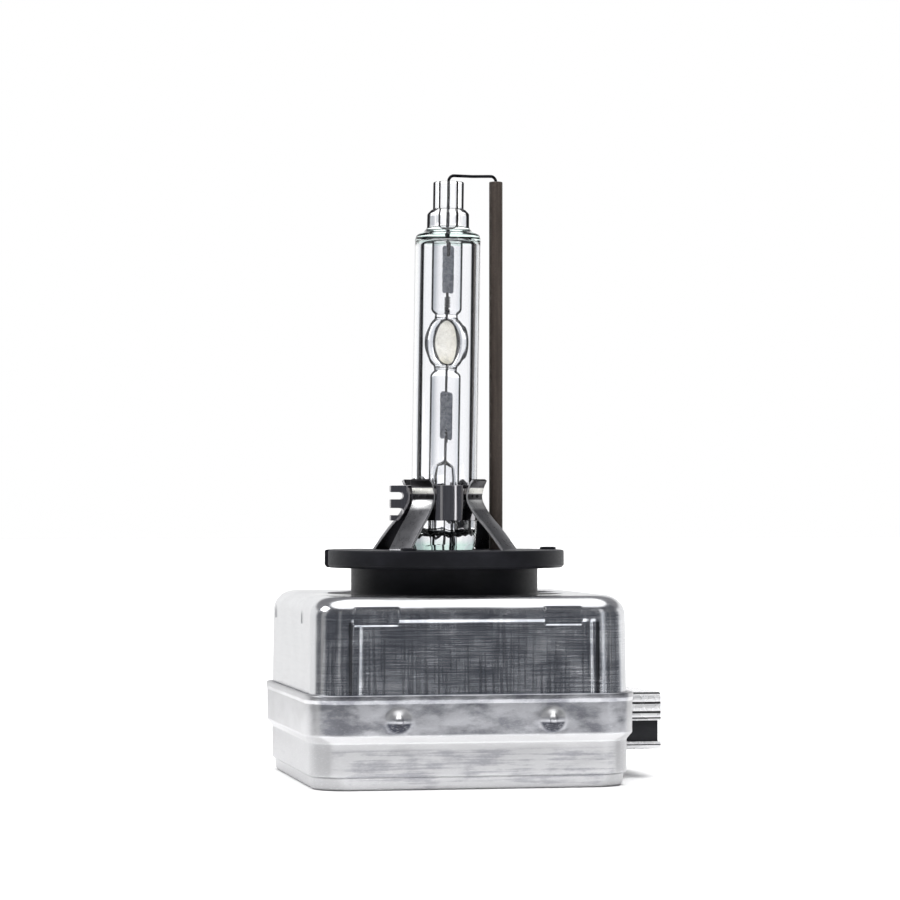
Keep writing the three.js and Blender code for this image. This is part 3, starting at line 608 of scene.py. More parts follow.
def quartz(name, edge, turned_away=None, foot=None):
    """Clear fused quartz. Seen edge-on, over the range of edge, a painted black is laid over it, standing in
    for the dark edge glass shows against a bright field.

    Turned_away gives where a hollow seen through the glass is painted dark, as shade where light can't get
    out into it.
    Foot gives the same painted dark for the thick, uneven glass low in the tube.
    """
    m = Shader(name, CLEAR, 0.0, IOR=QUARTZ_IOR, Transmission_Weight=1.0)
    facing = m.facing()
    dark = m.spread(facing, *edge)
    if turned_away:
        inside = m.node("ShaderNodeNewGeometry").outputs["Backfacing"]
        outside = m.times(dark, m.math("SUBTRACT", 1.0, inside))
        dark = m.math("MAXIMUM", m.times(m.between(facing, *turned_away), inside), outside)
    if foot:
        low_down = m.fade(m.along("Z"), SLEEVE.z0 + 0.4, SLEEVE.z0 + 0.8)
        dark = m.math("MAXIMUM", dark, m.times(m.spread(facing, *foot), low_down))
    m.color(m.tones(m.noise(2.5, detail=2), 0.3, 0.7, CLEAR, scaled(CLEAR, 0.985)))
    m.bump(m.noise(1.4, (1, 1, 3), detail=2), 0.02, 0.12)
    # Painted black over the glass, for its dark edges and the shade in its hollows.
    black = m.plain("Diffuse", (0.01, 0.01, 0.012))
    m.finish(m.cover(m.times(dark, 0.95), m.surface.outputs["BSDF"], black))
    return m.material


def shoulder_quartz():
    """The tube's outside: clear, faintly green where the quartz is worked thick at its two ends, and painted
    darker where it is seen edge-on.
    """
    m = Shader("quartz_outside", CLEAR_OUTSIDE, 0.0, IOR=QUARTZ_IOR, Transmission_Weight=1.0)
    z = m.along("Z")
    upper = m.between(z, (TUBE.z1 - 4.2, TUBE.z1 - 3.6), (TUBE.z1 - 2.7, TUBE.z1 - 2.2))
    lower = m.fade(z, TUBE.z0 + 2.6, TUBE.z0 + 3.8)
    tint = m.mix(m.math("MAXIMUM", upper, lower), CLEAR_OUTSIDE, (0.66, 0.86, 0.79))
    # Painted shade: seen edge-on, the glass is coloured dark, for the dark edge it shows against a bright
    # field.
    m.color(m.tones(m.facing(), 0.74, 0.93, tint, (0.3, 0.35, 0.36)))
    m.bump(m.noise(1.4, (1, 1, 3), detail=2), 0.02, 0.12)
    return m.material


def salt_film():
    """A milky, uneven deposit that yellows where it is thicker, low in the chamber and on its right, with a
    faint painted glow of its own.
    """
    # The emission is a painted glow: the film gives off a little light though the lamp is not lit.
    m = Shader("salt_film", (0.9, 0.9, 0.87), 0.7, Emission_Strength=0.5, Emission_Color=(1.0, 0.98, 0.93))
    patch = m.noise(0.7)
    low_down = m.fade(m.along("Z"), ARC_Z - 2.3, ARC_Z - 1.0)
    right = m.spread(m.along("X"), 0.3, 1.3)
    thick = m.times(m.math("MAXIMUM", low_down, right), m.spread(patch, 0.2, 0.7))
    m.color(m.mix(thick, (0.97, 0.97, 0.95), (0.95, 0.88, 0.62)))
    m.bump(patch, 0.05, 0.4)
    milky = m.cover(0.6, m.surface.outputs["BSDF"], m.plain("Translucent", (0.95, 0.94, 0.9)))
    m.finish(m.cover(m.spread(patch, 0.3, 0.7, 0.5, 0.2), milky, m.plain("Transparent")))
    return m.material


# The bend and lip bands are painted highlights; the tip band only darkens the curled tip.
LEG_BEND_HIGHLIGHT = ((34.8, 35.2), (36.1, 36.25))  # each band of height as what it rises over and falls over
LEG_WELD = ((36.2, 36.3), (36.85, 36.95))
LEG_LIP_HIGHLIGHT = ((36.95, 37.05), (37.65, 37.8))
LEG_DARK_TIP = (37.7, 37.9)


def weld_marks(m, color, cloud):
    """A leg's colour with painted highlights on its bend and lip, scorched at its weld, and darker at its
    curled tip.
    """
    z = m.along("Z")
    weld_line = m.times(m.between(z, *LEG_WELD), m.spread(cloud, 0.2, 0.5, 0.7, 1.0))
    weld_and_tip_dark = m.math("MAXIMUM", weld_line, m.spread(z, *LEG_DARK_TIP))
    # Painted highlights: the bend and the lip are made brighter than the rest of the strip.
    color = m.mix(m.between(z, *LEG_LIP_HIGHLIGHT), color, (0.86, 0.85, 0.8))
    color = m.mix(m.between(z, *LEG_BEND_HIGHLIGHT), color, (0.5, 0.5, 0.5))
    return m.mix(m.times(weld_and_tip_dark, 0.9), color, (0.035, 0.033, 0.036))


def strip_steel(name, tone, stretch, rough, welded=False):
    """Rolled stainless strip, with lines along it."""
    m = Shader(name, tone, rough[1], 1.0)
    lines = m.noise(0.12, stretch)
    cloud = m.noise(1.8, detail=3)
    color = m.tones(lines, 0.3, 0.7, scaled(tone, 0.88), scaled(tone, 1.1))
    m.color(weld_marks(m, color, cloud) if welded else color)
    m.roughness(m.spread(lines, 0.3, 0.7, *rough))
    m.bump(lines, 0.001, 0.25)
    m.bump(cloud, 0.008, 0.2)
    return m.material


def wire_metal(name, tone, rough=(0.25, 0.45)):
    """Drawn wire or small stampings: die lines, and a patchy oxide film."""
    m = Shader(name, tone, rough[1], 1.0)
    lines = m.noise(0.08, (1, 1, 12), detail=3)
    m.color(m.tones(m.noise(0.9), 0.35, 0.7, tone, scaled(tone, 0.55)))
    m.roughness(m.spread(lines, 0.3, 0.7, *rough))
    m.bump(lines, 0.01, 0.4)
    return m.material


def foil_metal():
    """Etched molybdenum foil: matt grey and crinkled, with bright flecks painted on as glints."""
    m = Shader("foil_metal", (0.26, 0.28, 0.32), 0.4, 0.3)
    crinkle = m.noise(0.35, (1, 1, 1.4), detail=6, rough=0.7)
    glint_flecks = m.texture("ShaderNodeTexVoronoi", 0.22).outputs["Distance"]
    tone = m.tones(crinkle, 0.35, 0.65, (0.13, 0.14, 0.165), (0.34, 0.36, 0.41))
    # Painted glints: small bright flecks laid into the foil's colour.
    m.color(m.mix(m.spread(glint_flecks, 0.02, 0.14, 0.35, 0.0), tone, (0.85, 0.87, 0.9)))
    m.roughness(m.spread(crinkle, 0.3, 0.7, 0.3, 0.6))
    m.bump(crinkle, 0.06, 0.6)
    return m.material


def fired_ceramic(name, dark, light):
    """Unglazed fired ceramic with a fine grain and faint drawn lines."""
    m = Shader(name, light, 0.6, Specular_IOR_Level=0.35)
    grain = m.noise(0.22, detail=5, rough=0.7)
    drawn = m.noise(0.4, (1, 1, 24), detail=3)
    m.color(m.tones(m.times(grain, drawn), 0.12, 0.42, dark, light))
    m.roughness(m.spread(grain, 0.3, 0.7, 0.5, 0.75))
    m.bump(grain, 0.015, 0.6)
    return m.material


SHROUD_RIBS = ((9.78, 0.14, 0.2), (8.57, 0.14, 0.2), (7.82, 0.08, 0.16))  # a groove's height, half and depth
# Lines of painted shade on the shroud's sides, in its grooves and along its edges.
SHROUD_SHADE_LINES = (  # a dark line's height, its half, and how softly it ends
    (SHROUD.z1 - 0.12, 0.1, 0.06),
    (9.78, 0.12, 0.05),
    (8.57, 0.12, 0.05),
    (7.82, 0.06, 0.05),
    (4.35, 0.05, 0.06),
)


def plated_sheet():
    """Bright plated sheet, with fine drawn lines along the plug's way in, and painted shade in the ribs'
    grooves and along its edges.
    """
    m = Shader("plated_sheet", (0.9, 0.9, 0.9), 0.2, 0.35)
    lines = m.noise(0.14, (16, 1, 1))
    cloud = m.noise(1.8, detail=3)
    z = m.along("Z")
    shaded_lines = 0.0
    for middle, half, soft in SHROUD_SHADE_LINES:
        off = m.math("ABSOLUTE", m.math("SUBTRACT", z, middle))
        shaded_lines = m.math("MAXIMUM", shaded_lines, m.fade(off, half, half + soft))
    on_side = m.spread(m.out_along("Y"), SHROUD.y1 - 0.75, SHROUD.y1 - 0.65)
    tone = m.tones(lines, 0.3, 0.7, (0.66, 0.66, 0.68), (0.8, 0.8, 0.8))
    # Painted shade: near black along these lines, on the shroud's sides only.
    m.color(m.mix(m.times(shaded_lines, on_side, 0.97), tone, (0.012, 0.012, 0.014)))
    m.roughness(m.spread(cloud, 0.35, 0.65, 0.2, 0.36))
    m.bump(lines, 0.006, 0.4)
    m.bump(cloud, 0.04, 0.3)
    return m.material


def mottled(name, dark, light, size, rough, metallic=0.0):
    """A cast, sintered or dipped surface: two close tones and a soft grain."""
    m = Shader(name, light, rough[1], metallic)
    cloud = m.noise(size, detail=5)
    m.color(m.tones(cloud, 0.35, 0.65, dark, light))
    m.roughness(m.spread(cloud, 0.3, 0.7, *rough))
    m.bump(cloud, size * 0.05, 0.4)
    return m.material


def wound_copper():
    """Enamelled copper turns, as fine ridges round the core, which lies along Y."""
    m = Shader("wound_copper", (0.55, 0.25, 0.12), 0.35, 1.0)
    wave = m.texture("ShaderNodeTexWave", 0.9)
    wave.bands_direction = "Y"
    m.color(m.mix(wave.outputs["Fac"], (0.28, 0.1, 0.05), (0.72, 0.38, 0.2)))
    m.bump(wave.outputs["Fac"], 0.1, 0.8)
    return m.material


def pale_floor():
    """The plain floor: pale, with the faintest paper grain."""
    m = Shader("pale_floor", (0.93, 0.93, 0.93), 0.9, Specular_IOR_Level=0.1)
    m.color(m.tones(m.noise(1.5, detail=3), 0.3, 0.7, (0.925, 0.925, 0.925), (0.935, 0.935, 0.935)))
    return m.material


ALUMINIUM_CAN = can_metal()
ALUMINIUM_TRAY = tray_metal()
BLACK_PLASTIC = moulded_plastic("black_plastic", (0.0088, 0.009, 0.0115))
HOUSING_PLASTIC = moulded_plastic("housing_plastic", (0.013, 0.0135, 0.0155))
QUARTZ = [
    shoulder_quartz(),
    quartz("quartz_wall", (0.55, 0.66), turned_away=((0.215, 0.235), (0.285, 0.302))),
    quartz("quartz_chamber", (0.85, 1.0), turned_away=((0.17, 0.21), (0.29, 0.33))),
    quartz("quartz_tail", (0.46, 0.58), turned_away=((0.18, 0.21), (0.29, 0.33))),
    quartz("quartz_seal", (0.46, 0.56), foot=(0.3, 0.4)),
]
GLASS_OUTSIDE, GLASS_WALL, GLASS_CHAMBER, GLASS_TAIL, GLASS_SEAL = range(len(QUARTZ))
SALT = salt_film()
LEG_STEEL = strip_steel("leg_steel", (0.2, 0.2, 0.21), (6, 6, 10), (0.27, 0.3), welded=True)
# The strip's narrow sides: bright cut metal, made brighter still as a painted highlight along the legs'
# edges.
SHEARED_EDGE_AND_HIGHLIGHT = strip_steel("sheared_edge_highlight", (0.85, 0.85, 0.86), (6, 6, 10), (0.4, 0.5))
SLEEVE_STEEL = strip_steel("sleeve_steel", (0.52, 0.51, 0.53), (1, 1, 40), (0.07, 0.12))
DARK_WIRE = wire_metal("dark_wire", (0.035, 0.035, 0.04), (0.3, 0.5))
TUNGSTEN = wire_metal("tungsten", (0.03, 0.03, 0.035))
FOIL = foil_metal()
BROWN_CERAMIC = fired_ceramic("brown_ceramic", (0.038, 0.029, 0.024), (0.07, 0.055, 0.046))
WHITE_CERAMIC = fired_ceramic("white_ceramic", (0.7, 0.68, 0.62), (0.86, 0.84, 0.79))
PLATED = plated_sheet()
TINNED = wire_metal("tinned", (0.78, 0.77, 0.74), (0.2, 0.4))
WOUND = wound_copper()
FERRITE = mottled("ferrite", (0.03, 0.029, 0.028), (0.06, 0.058, 0.055), 0.5, (0.5, 0.7), 0.3)
BOBBIN = moulded_plastic("bobbin_plastic", (0.045, 0.027, 0.017))
EPOXY = mottled("capacitor_epoxy", (0.3, 0.07, 0.02), (0.4, 0.11, 0.035), 1.4, (0.18, 0.32))
LACQUER = mottled("resistor_lacquer", (0.28, 0.4, 0.33), (0.36, 0.5, 0.42), 0.9, (0.2, 0.35))
POTTING = mottled("potting", (0.07, 0.062, 0.055), (0.11, 0.1, 0.09), 2.5, (0.35, 0.5))


# ---- The can and its tray ------------------------------------------------------------------------

FRONT, RIGHT, BACK, LEFT = 3, 0, 1, 2  # the four faces, by quarter turns from +X
STRAIGHT = 16.0  # half the straight part of a face, to which the columns' places refer
CORNER_STEPS = 10


def square_ring(half, corner, z, columns, sunk=None):
    """A ring round a square with round corners. Columns gives each face's places, sunk their depths."""
    ring = []
    inset = half - corner
    for face in range(4):
        c, s = math.cos(face * math.pi / 2), math.sin(face * math.pi / 2)
        for place in columns[face]:
            out = half - (sunk(face, place, z, half) if sunk else 0.0)
            along = place * inset / STRAIGHT
            ring.append((out * c - along * s, out * s + along * c, z))
        for step in range(CORNER_STEPS + 1):
            angle = step / CORNER_STEPS * math.pi / 2
            x, y = inset + corner * math.cos(angle), inset + corner * math.sin(angle)
            ring.append((x * c - y * s, x * s + y * c, z))
    return ring


def columns_with(edges, spread):
    """Places along a face: one each millimetre, and closer ones about each edge."""
    close = {round(edge + offset, 3) for edge in edges for offset in spread}
    even = {round(-STRAIGHT + i, 3) for i in range(1, int(2 * STRAIGHT))}
    kept = {place for place in even if all(abs(place - other) > 0.04 for other in close)}
    return sorted(place for place in close | kept if abs(place) < STRAIGHT - 0.02)


CAN_PADS = {
    FRONT: [(-15.4, -9.6), (8.95, 13.85)],
    LEFT: [(-14.9, -9.6), (8.5, 13.7)],
    BACK: [(-14.4, -9.3), (9.3, 14.4)],
    RIGHT: [(-14.4, -9.3), (9.3, 14.4)],
}
PAD_SOFT = 0.16
FRONT_PAD_DEPTH = 0.52
PAD_DEPTH = 0.32
PAD_PLACES = (-0.3, -0.16, -0.08, 0, 0.08, 0.16, 0.3)
PANEL_DEPTH = 0.11
PANEL_RIDGE = 14.7  # where the panel's border rises a little again
PANEL_PLACES = (14.1, 14.3, 14.5, 14.7, 14.9, 15.1, 15.35, 15.5, 15.62, 15.75, 15.9)


def can_sunk(face, place, z, half):
    """How deep the can's wall lies under its drawn shape: two pressed pads, and a panel under them."""
    drawn_in = CAN_HALF - half
    deep = FRONT_PAD_DEPTH if face == FRONT else PAD_DEPTH
    depth = 0.0
    for low, high in CAN_PADS[face]:
        pad = bump_in(place, low + PAD_SOFT, high - PAD_SOFT, PAD_SOFT)
        pad *= ease(z, 20.3, 20.6) * (1 - ease(z, 22.9, 23.1))
        depth = max(depth, pad * max(deep - drawn_in, 0.0))
    if face in (FRONT, BACK):
        panel = bump_in(place, -PANEL_HALF, PANEL_HALF, 0.35) * (1 - ease(z, PANEL_TOP_Z, PANEL_TOP_Z + 0.6))
        uneven = PANEL_DEPTH * (1 + 0.3 * noise.noise(Vector((place * 0.35, 0.0, 2.2))))
        ridge = 0.07 * math.exp(-(((abs(place) - PANEL_RIDGE) / 0.3) ** 2))
        depth = max(depth, (uneven - ridge) * panel)
    ripple = 0.05 * noise.noise(Vector((place * 0.16 + 7 * face, z * 0.1, 1.7)))
    return depth + ripple * (1 - ease(z, 22.0, 23.5))


def can_columns():
    """Each face's places, close together at the edges of the pads and the panel."""
    ends = {side * place for side in (-1, 1) for place in PANEL_PLACES}
    columns = []
    for face in range(4):
        edges = [edge for pad in CAN_PADS[face] for edge in pad]
        columns.append(sorted({*columns_with(edges, PAD_PLACES), *ends}))
    return columns


def can_fillet(columns, inset, steps, sunk=None):
    """The rounded edge between the wall and the top, from the wall up, on a skin this far in."""
    rings = []
    for step in range(steps + 1):
        angle = step / steps * math.pi / 2
        drawn_in = (CAN_EDGE - inset) * (1 - math.cos(angle))
        z = CAN.z1 - CAN_EDGE + (CAN_EDGE - inset) * math.sin(angle)
        half = CAN_HALF - CAN_DRAFT - inset - drawn_in
        rings.append(square_ring(half, CAN_CORNER - inset - 0.6 * drawn_in, z, columns, sunk))
    return rings


def can_hole(edge):
    """Rings from the top's edge in to the round hole, and down through the sheet."""
    rings = []
    lip = ((0.97, 0.02), (1.0, 0.12), (1.0, SHEET - 0.1), (0.97, SHEET))
    for share, drop in ((0.25, 0), (0.6, 0), (0.9, 0), *lip):
        rings.append([])
        for x, y, z in edge:
            turn = math.atan2(y, x)
            hole_x, hole_y = CAN_HOLE_R * math.cos(turn), CAN_HOLE_R * math.sin(turn)
            rings[-1].append((x + (hole_x - x) * share, y + (hole_y - y) * share, z - drop))
    return rings


def can_shell():
    columns = can_columns()
    wall_height = CAN.z1 - CAN_EDGE - CAN.z0
    pad_edge = [20.2, 20.3, 20.38, 20.46, 20.54, 20.62, 20.75, 20.9, 21.1, 21.3]
    rings = []
    for z in steps_between(CAN.z0, 20.0, 12) + pad_edge:
        half = CAN_HALF - CAN_DRAFT * (z - CAN.z0) / wall_height
        rings.append(square_ring(half, CAN_CORNER, z, columns, can_sunk))
    rings += can_fillet(columns, 0.0, 22, can_sunk)
    rings += can_hole(rings[-1])
    rings += reversed(can_fillet(columns, SHEET, 6))
    rings.append(square_ring(CAN_HALF - SHEET, CAN_CORNER - SHEET, CAN.z0, columns))
    made = [shell(*skin(rings, closed_rows=True))]
    can = piece("can_shell", made, [ALUMINIUM_CAN], ["shield_can"], 48)
    carve(can, [shell(*socket_clearance(0.3))], crease=48)


def socket_clearance(clear):
    half = SHROUD.y1 + clear
    return block(TRAY_HALF - 3, TRAY_BAND_HALF + 2, -half, half, SHROUD.z0 - clear, SHROUD.z1 + clear)


NIB_REACH = (0.1, 0.2, 0.3, 0.38, 0.44, 0.5, 0.65, 0.85, 1.1, 1.5, 2.0, 2.6)


def tray_sunk(face, place, z, half):
    """How deep the tray's wall lies: the staked nibs stand out of it, and handling has left it wavy."""
    on_band = ease(z, TRAY_STEP_Z, TRAY_STEP_Z + 0.7)
    wave = 0.04 * noise.noise(Vector((place * 0.23 + 11 * face, z * 0.35, 4.2)))
    wave += 0.02 * noise.noise(Vector((place * 0.6 + 5 * face, z * 0.8, 9.1)))
    wave *= bump_in(z, 2.2, TRAY.z1 - 1.0, 0.7)
    rise = 0.0
    if face in (FRONT, BACK):
        for nib in (-NIB_X, NIB_X):
            across, up = place - nib * STRAIGHT / (half - TRAY_CORNER), z - NIB_Z
            low = max(1 - (across / 1.8) ** 2 - (up / 1.7) ** 2, 0.0)
            tip = max(1 - (across / 0.5) ** 2 - ((up + 0.1) / (0.85 if up > -0.1 else 0.6)) ** 2, 0.0)
            rise += 0.66 * low * low + 0.36 * math.sqrt(tip)
    return wave - rise * on_band


def tray_columns():
    spread = tuple(-reach for reach in reversed(NIB_REACH)) + (0,) + NIB_REACH
    scale = STRAIGHT / (TRAY_BAND_HALF - TRAY_CORNER)
    nibs = columns_with([-NIB_X * scale, NIB_X * scale], spread)
    plain = columns_with([], ())
    return [nibs if face in (FRONT, BACK) else plain for face in range(4)]


def tray_outline():
    """Points (half, z) of the tray's wall, up its outside."""
    lip = TRAY_HALF - 0.35
    return [
        (lip - 0.9, 0.0),
        (lip - 0.15, 0.0, 0.5),
        (lip, 1.2, 0.5),
        (lip + 0.02, 1.5, 0.1),
        (TRAY_HALF, 1.75, 0.15),
        (TRAY_HALF, TRAY_STEP_Z - 0.5, 0.5),
        (TRAY_BAND_HALF - 0.12, TRAY_STEP_Z + 0.35, 0.5),
        (TRAY_BAND_HALF - 0.1, TRAY.z1 - 1.1, 0.3),
        (TRAY_BAND_HALF, TRAY.z1 - 0.65, 0.2),
        (TRAY_BAND_HALF, TRAY.z1, 0.28),
        (TRAY_BAND_HALF - SHEET, TRAY.z1, 0.15),
        (TRAY_BAND_HALF - SHEET, TRAY.z1 - 0.6),
    ]


def bottom_tray():
    columns = tray_columns()
    outline = soften(tray_outline(), steps=5)
    levels = [outline[0]]
    for (half, z), (next_half, next_z) in zip(outline, outline[1:]):
        by_nibs = 7.0 < (z + next_z) / 2 < 11
        rows = max(1, math.ceil((next_z - z) / (0.16 if by_nibs else 0.6)))
        for row in range(1, rows + 1):
            levels.append((half + (next_half - half) * row / rows, z + (next_z - z) * row / rows))
    rings = [square_ring(half, TRAY_CORNER, z, columns, tray_sunk) for half, z in levels]
    band_in, wall_in = TRAY_BAND_HALF - SHEET, TRAY_HALF - SHEET
    for half, z in ((band_in, 7.3), (wall_in, 6.6), (wall_in, 1.6), (19.2, SHEET)):
        rings.append(square_ring(half, TRAY_CORNER - SHEET, z, columns))
    tray = piece("tray_shell", [shell(*skin(rings))], [ALUMINIUM_TRAY], ["bottom_tray"], 40)
    carve(tray, [shell(*socket_clearance(0.15))], crease=40)


# ---- The base ------------------------------------------------------------------------------------

BOSS_TURNS = (0, 90, 240)
KEYWAYS = ((179, 3.2, 1.5), (62, 2.6, 2.4), (118, 5.2, 2.4))  # angle, width, depth
POCKET_R = 4.05
POCKET_Z = 28.4
COLLAR_HOLE_R = 2.85
COLLAR_Z = 27.4
BURNER_HOLE_R = 2.05
BURNER_SEAT_Z = 24.3
WIRE_HOLE_R = 1.1
CERAMIC_SEAT_Z = 25.45
RETURN_AT = CERAMIC.middle_x
LEG_FOOT_R = 10.15


def base_outline():
    """Points (radius, z) round the moulding, from its underside's hole up its outside and down its bore."""
    low = BASE.z0
    return [
        (WIRE_HOLE_R, low),
        (FLANGE_R, low, 0.3),
        (FLANGE_R, FLANGE_TOP_Z, 0.3),
        (SPIGOT_R, FLANGE_TOP_Z, 0.1),
        (SPIGOT_R, SPIGOT_TOP_Z, 0.2),
        (DRUM_R, SPIGOT_TOP_Z, 0.35),
        (DRUM_R, DISC_BOTTOM_Z, 0.3),
        (DISC_R - 0.3, DISC_BOTTOM_Z, 0.12),
        (DISC_R, DISC_BOTTOM_Z + 0.35, 0.2),
        (DISC_R, REFERENCE_Z, 0.28),
        (POCKET_R, REFERENCE_Z, 0.12),
        (POCKET_R, POCKET_Z, 0.1),
        (COLLAR_HOLE_R, POCKET_Z),
        (COLLAR_HOLE_R, COLLAR_Z),
        (BURNER_HOLE_R, COLLAR_Z),
        (BURNER_HOLE_R, BURNER_SEAT_Z),
        (WIRE_HOLE_R, BURNER_SEAT_Z),
    ]


def turned_shell(made, angle):
    """Points and faces as one closed surface, turned about the lamp's axis."""
    verts, faces = made
    return shell(turned(verts, angle), faces)


def lamp_base():
    made = [shell(*lathe(soften(base_outline()), 192))]
    base = piece("base_moulding", made, [BLACK_PLASTIC], ["lamp_base"])
    low, high, boss_r = REFERENCE_Z - 0.4, REFERENCE_Z + 0.35, 1.05
    boss = soften([(0, low), (boss_r, low), (boss_r, high, 0.2), (0, high)])
    carve(base, [turned_shell(lathe(boss, 32, (BOSS_RING_R, 0.0)), angle) for angle in BOSS_TURNS], "UNION")
    way, ceramic = 0.4, 0.93
    wire_way = [(0, 20), (way, 20), (way, CERAMIC_SEAT_Z), (ceramic, CERAMIC_SEAT_Z), (ceramic, 31), (0, 31)]
    cuts = [shell(*lathe(wire_way, 32, (RETURN_AT, 0.0)))]
    above = REFERENCE_Z + 1
    for angle, width, depth in KEYWAYS:
        notch = block(DISC_R - depth, DISC_R + 1, -width / 2, width / 2, DISC_BOTTOM_Z - 1, above)
        cuts.append(turned_shell(notch, angle))
    half = LEG_WIDTH / 2 + 0.05
    slot = block(LEG_FOOT_R - 0.25, LEG_FOOT_R + 0.25, -half, half, LEG.z0 - 0.2, above)
    cuts += [turned_shell(slot, angle) for angle in LEG_TURNS.values()]
    carve(base, cuts)
    bevel(base, 0.07, 50)


# ---- The burner ----------------------------------------------------------------------------------


def bulb_side(radius, half, neck):
    """Points (r, z) round half an oval, from its widest place up to its neck."""
    points = []
    for step in range(15):
        angle = step / 14 * math.pi / 2
        r, z = radius * math.cos(angle), half * math.sin(angle)
        if r > neck:
            points.append((r, z))
    return points


def above_and_below(side):
    """Points round the arc's middle, from under it to over it, from those of its upper side."""
    return [(r, ARC_Z - z) for r, z in reversed(side)] + [(r, ARC_Z + z) for r, z in side[1:]]


def glass_outside():
    """The fused body's outside, from the lower tail's bore round to the upper tail's bore."""
    bottom, top = TUBE.z0, TUBE.z1
    collar = 2.75
    return soften([
        (0.0, LOWER_BORE_Z),
        (0.25, LOWER_BORE_Z - 0.2, 0.2),
        (TAIL_BORE_R * 0.85, LOWER_BORE_Z - 0.8, 0.5),
        (TAIL_BORE_R, LOWER_BORE_Z - 2.1, 0.5),
        (TAIL_BORE_R, LOWER_BORE_Z - 3.5),
        (TAIL_BORE_R, BURNER.z0, 0.15),
        (BURNER_R, BURNER.z0, 0.15),
        (BURNER_R, bottom, 0.2),
        (collar, bottom, 0.3),
        (collar, bottom + 0.9, 0.3),
        (collar + 0.9, bottom + 1.35, 0.5),
        (TUBE_R - 0.15, bottom + 2.7, 1.2),
        (TUBE_R, bottom + 4.2, 1.0),
        (TUBE_R, top - 3.9, 0.8),
        (TUBE_R - 0.15, top - 3.2, 0.6),
        (collar + 0.5, top - 2.9, 0.5),
        (collar, top - 2.3, 0.5),
        (collar - 0.02, top - 0.5, 0.5),
        (BURNER_R + 0.25, top, 0.3),
        (BURNER_R, top + 0.1, 0.2),
        (BURNER_R, BURNER.z1, 0.2),
        (TAIL_BORE_R, BURNER.z1, 0.2),
        (TAIL_BORE_R, UPPER_BORE_Z + 1.8),
        (TAIL_BORE_R * 0.9, UPPER_BORE_Z + 0.3, 0.8),
        (0.0, UPPER_BORE_Z),
    ], steps=6)


def glass_void():
    """The annular space between the tube and the burner, as a closed profile."""
    floor, roof = TUBE.z0 + 4.0, TUBE.z1 - 3.8
    return soften([
        (BURNER_R, roof, 0.35),
        (TUBE_BORE_R, roof - 0.15, 0.9),
        (TUBE_BORE_R, floor + 0.3, 0.9),
        (BURNER_R, floor, 0.35),
        (BURNER_R, ARC_Z - 5.4),
        (BURNER_R, ARC_Z - 4.2, 0.8),
        (1.45, ARC_Z - 3.65, 0.15),
        *above_and_below(bulb_side(2.9, 3.65, 1.5)),
        (1.45, ARC_Z + 3.65, 0.15),
        (BURNER_R, ARC_Z + 4.2, 0.8),
        (BURNER_R, ARC_Z + 5.4),
    ], closed=True, steps=6)


def lump_foot(surface):
    """Leaves the fused foot of the glass uneven, as it is where the tube was melted down onto the burner."""
    top = TUBE.z0 + 4.9
    for vert in surface.verts:
        x, y, z = (value / MM for value in vert.co)
        radius = math.hypot(x, y)
        if z > top or z < TUBE.z0 + 2.2 or radius < TAIL_BORE_R + 0.1:
            continue
        share = bump_in(z, TUBE.z0 + 2.9, top - 0.9, 0.8)
        swell = noise.noise(Vector((x * 0.55, y * 0.55, z * 1.5)))
        swell += 0.5 * noise.noise(Vector((x * 1.3, y * 1.3, z * 2.6)))
        vert.co.x *= 1 - 0.045 * share * abs(swell)
        vert.co.y *= 1 - 0.045 * share * abs(swell)
        if radius < TUBE_R - 0.5:
            vert.co.z += 0.3 * share * swell * MM


def glass_body():
    sides = 128
    outside = shell(*lathe(glass_outside(), sides), material=GLASS_OUTSIDE)
    void = shell(*lathe(glass_void(), sides), inward=True, material=GLASS_WALL)
    half = bulb_side(CHAMBER_R, CHAMBER_HALF, 0.18)
    end = CHAMBER_HALF + 0.02
    chamber = [(0.0, ARC_Z - end), *above_and_below(half), (0.0, ARC_Z + end)]
    hollow = shell(*lathe(chamber, 64), inward=True, material=GLASS_CHAMBER)
    for face in outside.faces:
        middle = face.calc_center_median()
        on_tail = not TUBE.z0 * MM < middle.z < (TUBE.z1 - 2.5) * MM
        if on_tail or math.hypot(middle.x, middle.y) < (TAIL_BORE_R + 0.05) * MM:
            face.material_index = GLASS_TAIL
    for face in void.faces:
        middle = face.calc_center_median()
        if math.hypot(middle.x, middle.y) < 2.95 * MM:
            face.material_index = GLASS_SEAL
    for surface in (outside, void):
        lump_foot(surface)
    made = [outside, void, hollow]
    return piece("quartz_glass", made, QUARTZ, ["outer_envelope", "arc_tube"], 50)


def salt_deposit():
    outer = above_and_below(bulb_side(CHAMBER_R - 0.05, CHAMBER_HALF - 0.06, 0.5))
    inner = above_and_below(bulb_side(CHAMBER_R - 0.17, CHAMBER_HALF - 0.2, 0.5))
    return piece("salt_deposit", [shell(*lathe(outer + inner[::-1], 64))], [SALT], ["salt_fill"], 60)


def pin(name, node, root, tip, bend):
    path = smooth_path([(0, 0, root), (0.02, 0, root * 0.6 + tip * 0.4), (bend, 0, tip)], 6)
    size = (lambda share: 0.16 - 0.03 * ease(share, 0.9, 1.0))
    return piece(name, [shell(*tube(path, size))], [TUNGSTEN], [node], 60)


def coil():
    """A fine coil wound on the upper pin, where it is sealed in."""
    turns, low, high, radius = 11, ARC_Z + 3.7, ARC_Z + 5.9, 0.25
    path = []
    for step in range(turns * 12 + 1):
        angle = 2 * math.pi * step / 12
        z = low + (high - low) * step / (turns * 12)
        path.append(Vector((radius * math.cos(angle), radius * math.sin(angle), z)))
    return piece("electrode_coil", [shell(*tube(path, 0.07, 8))], [TUNGSTEN], crease=60)


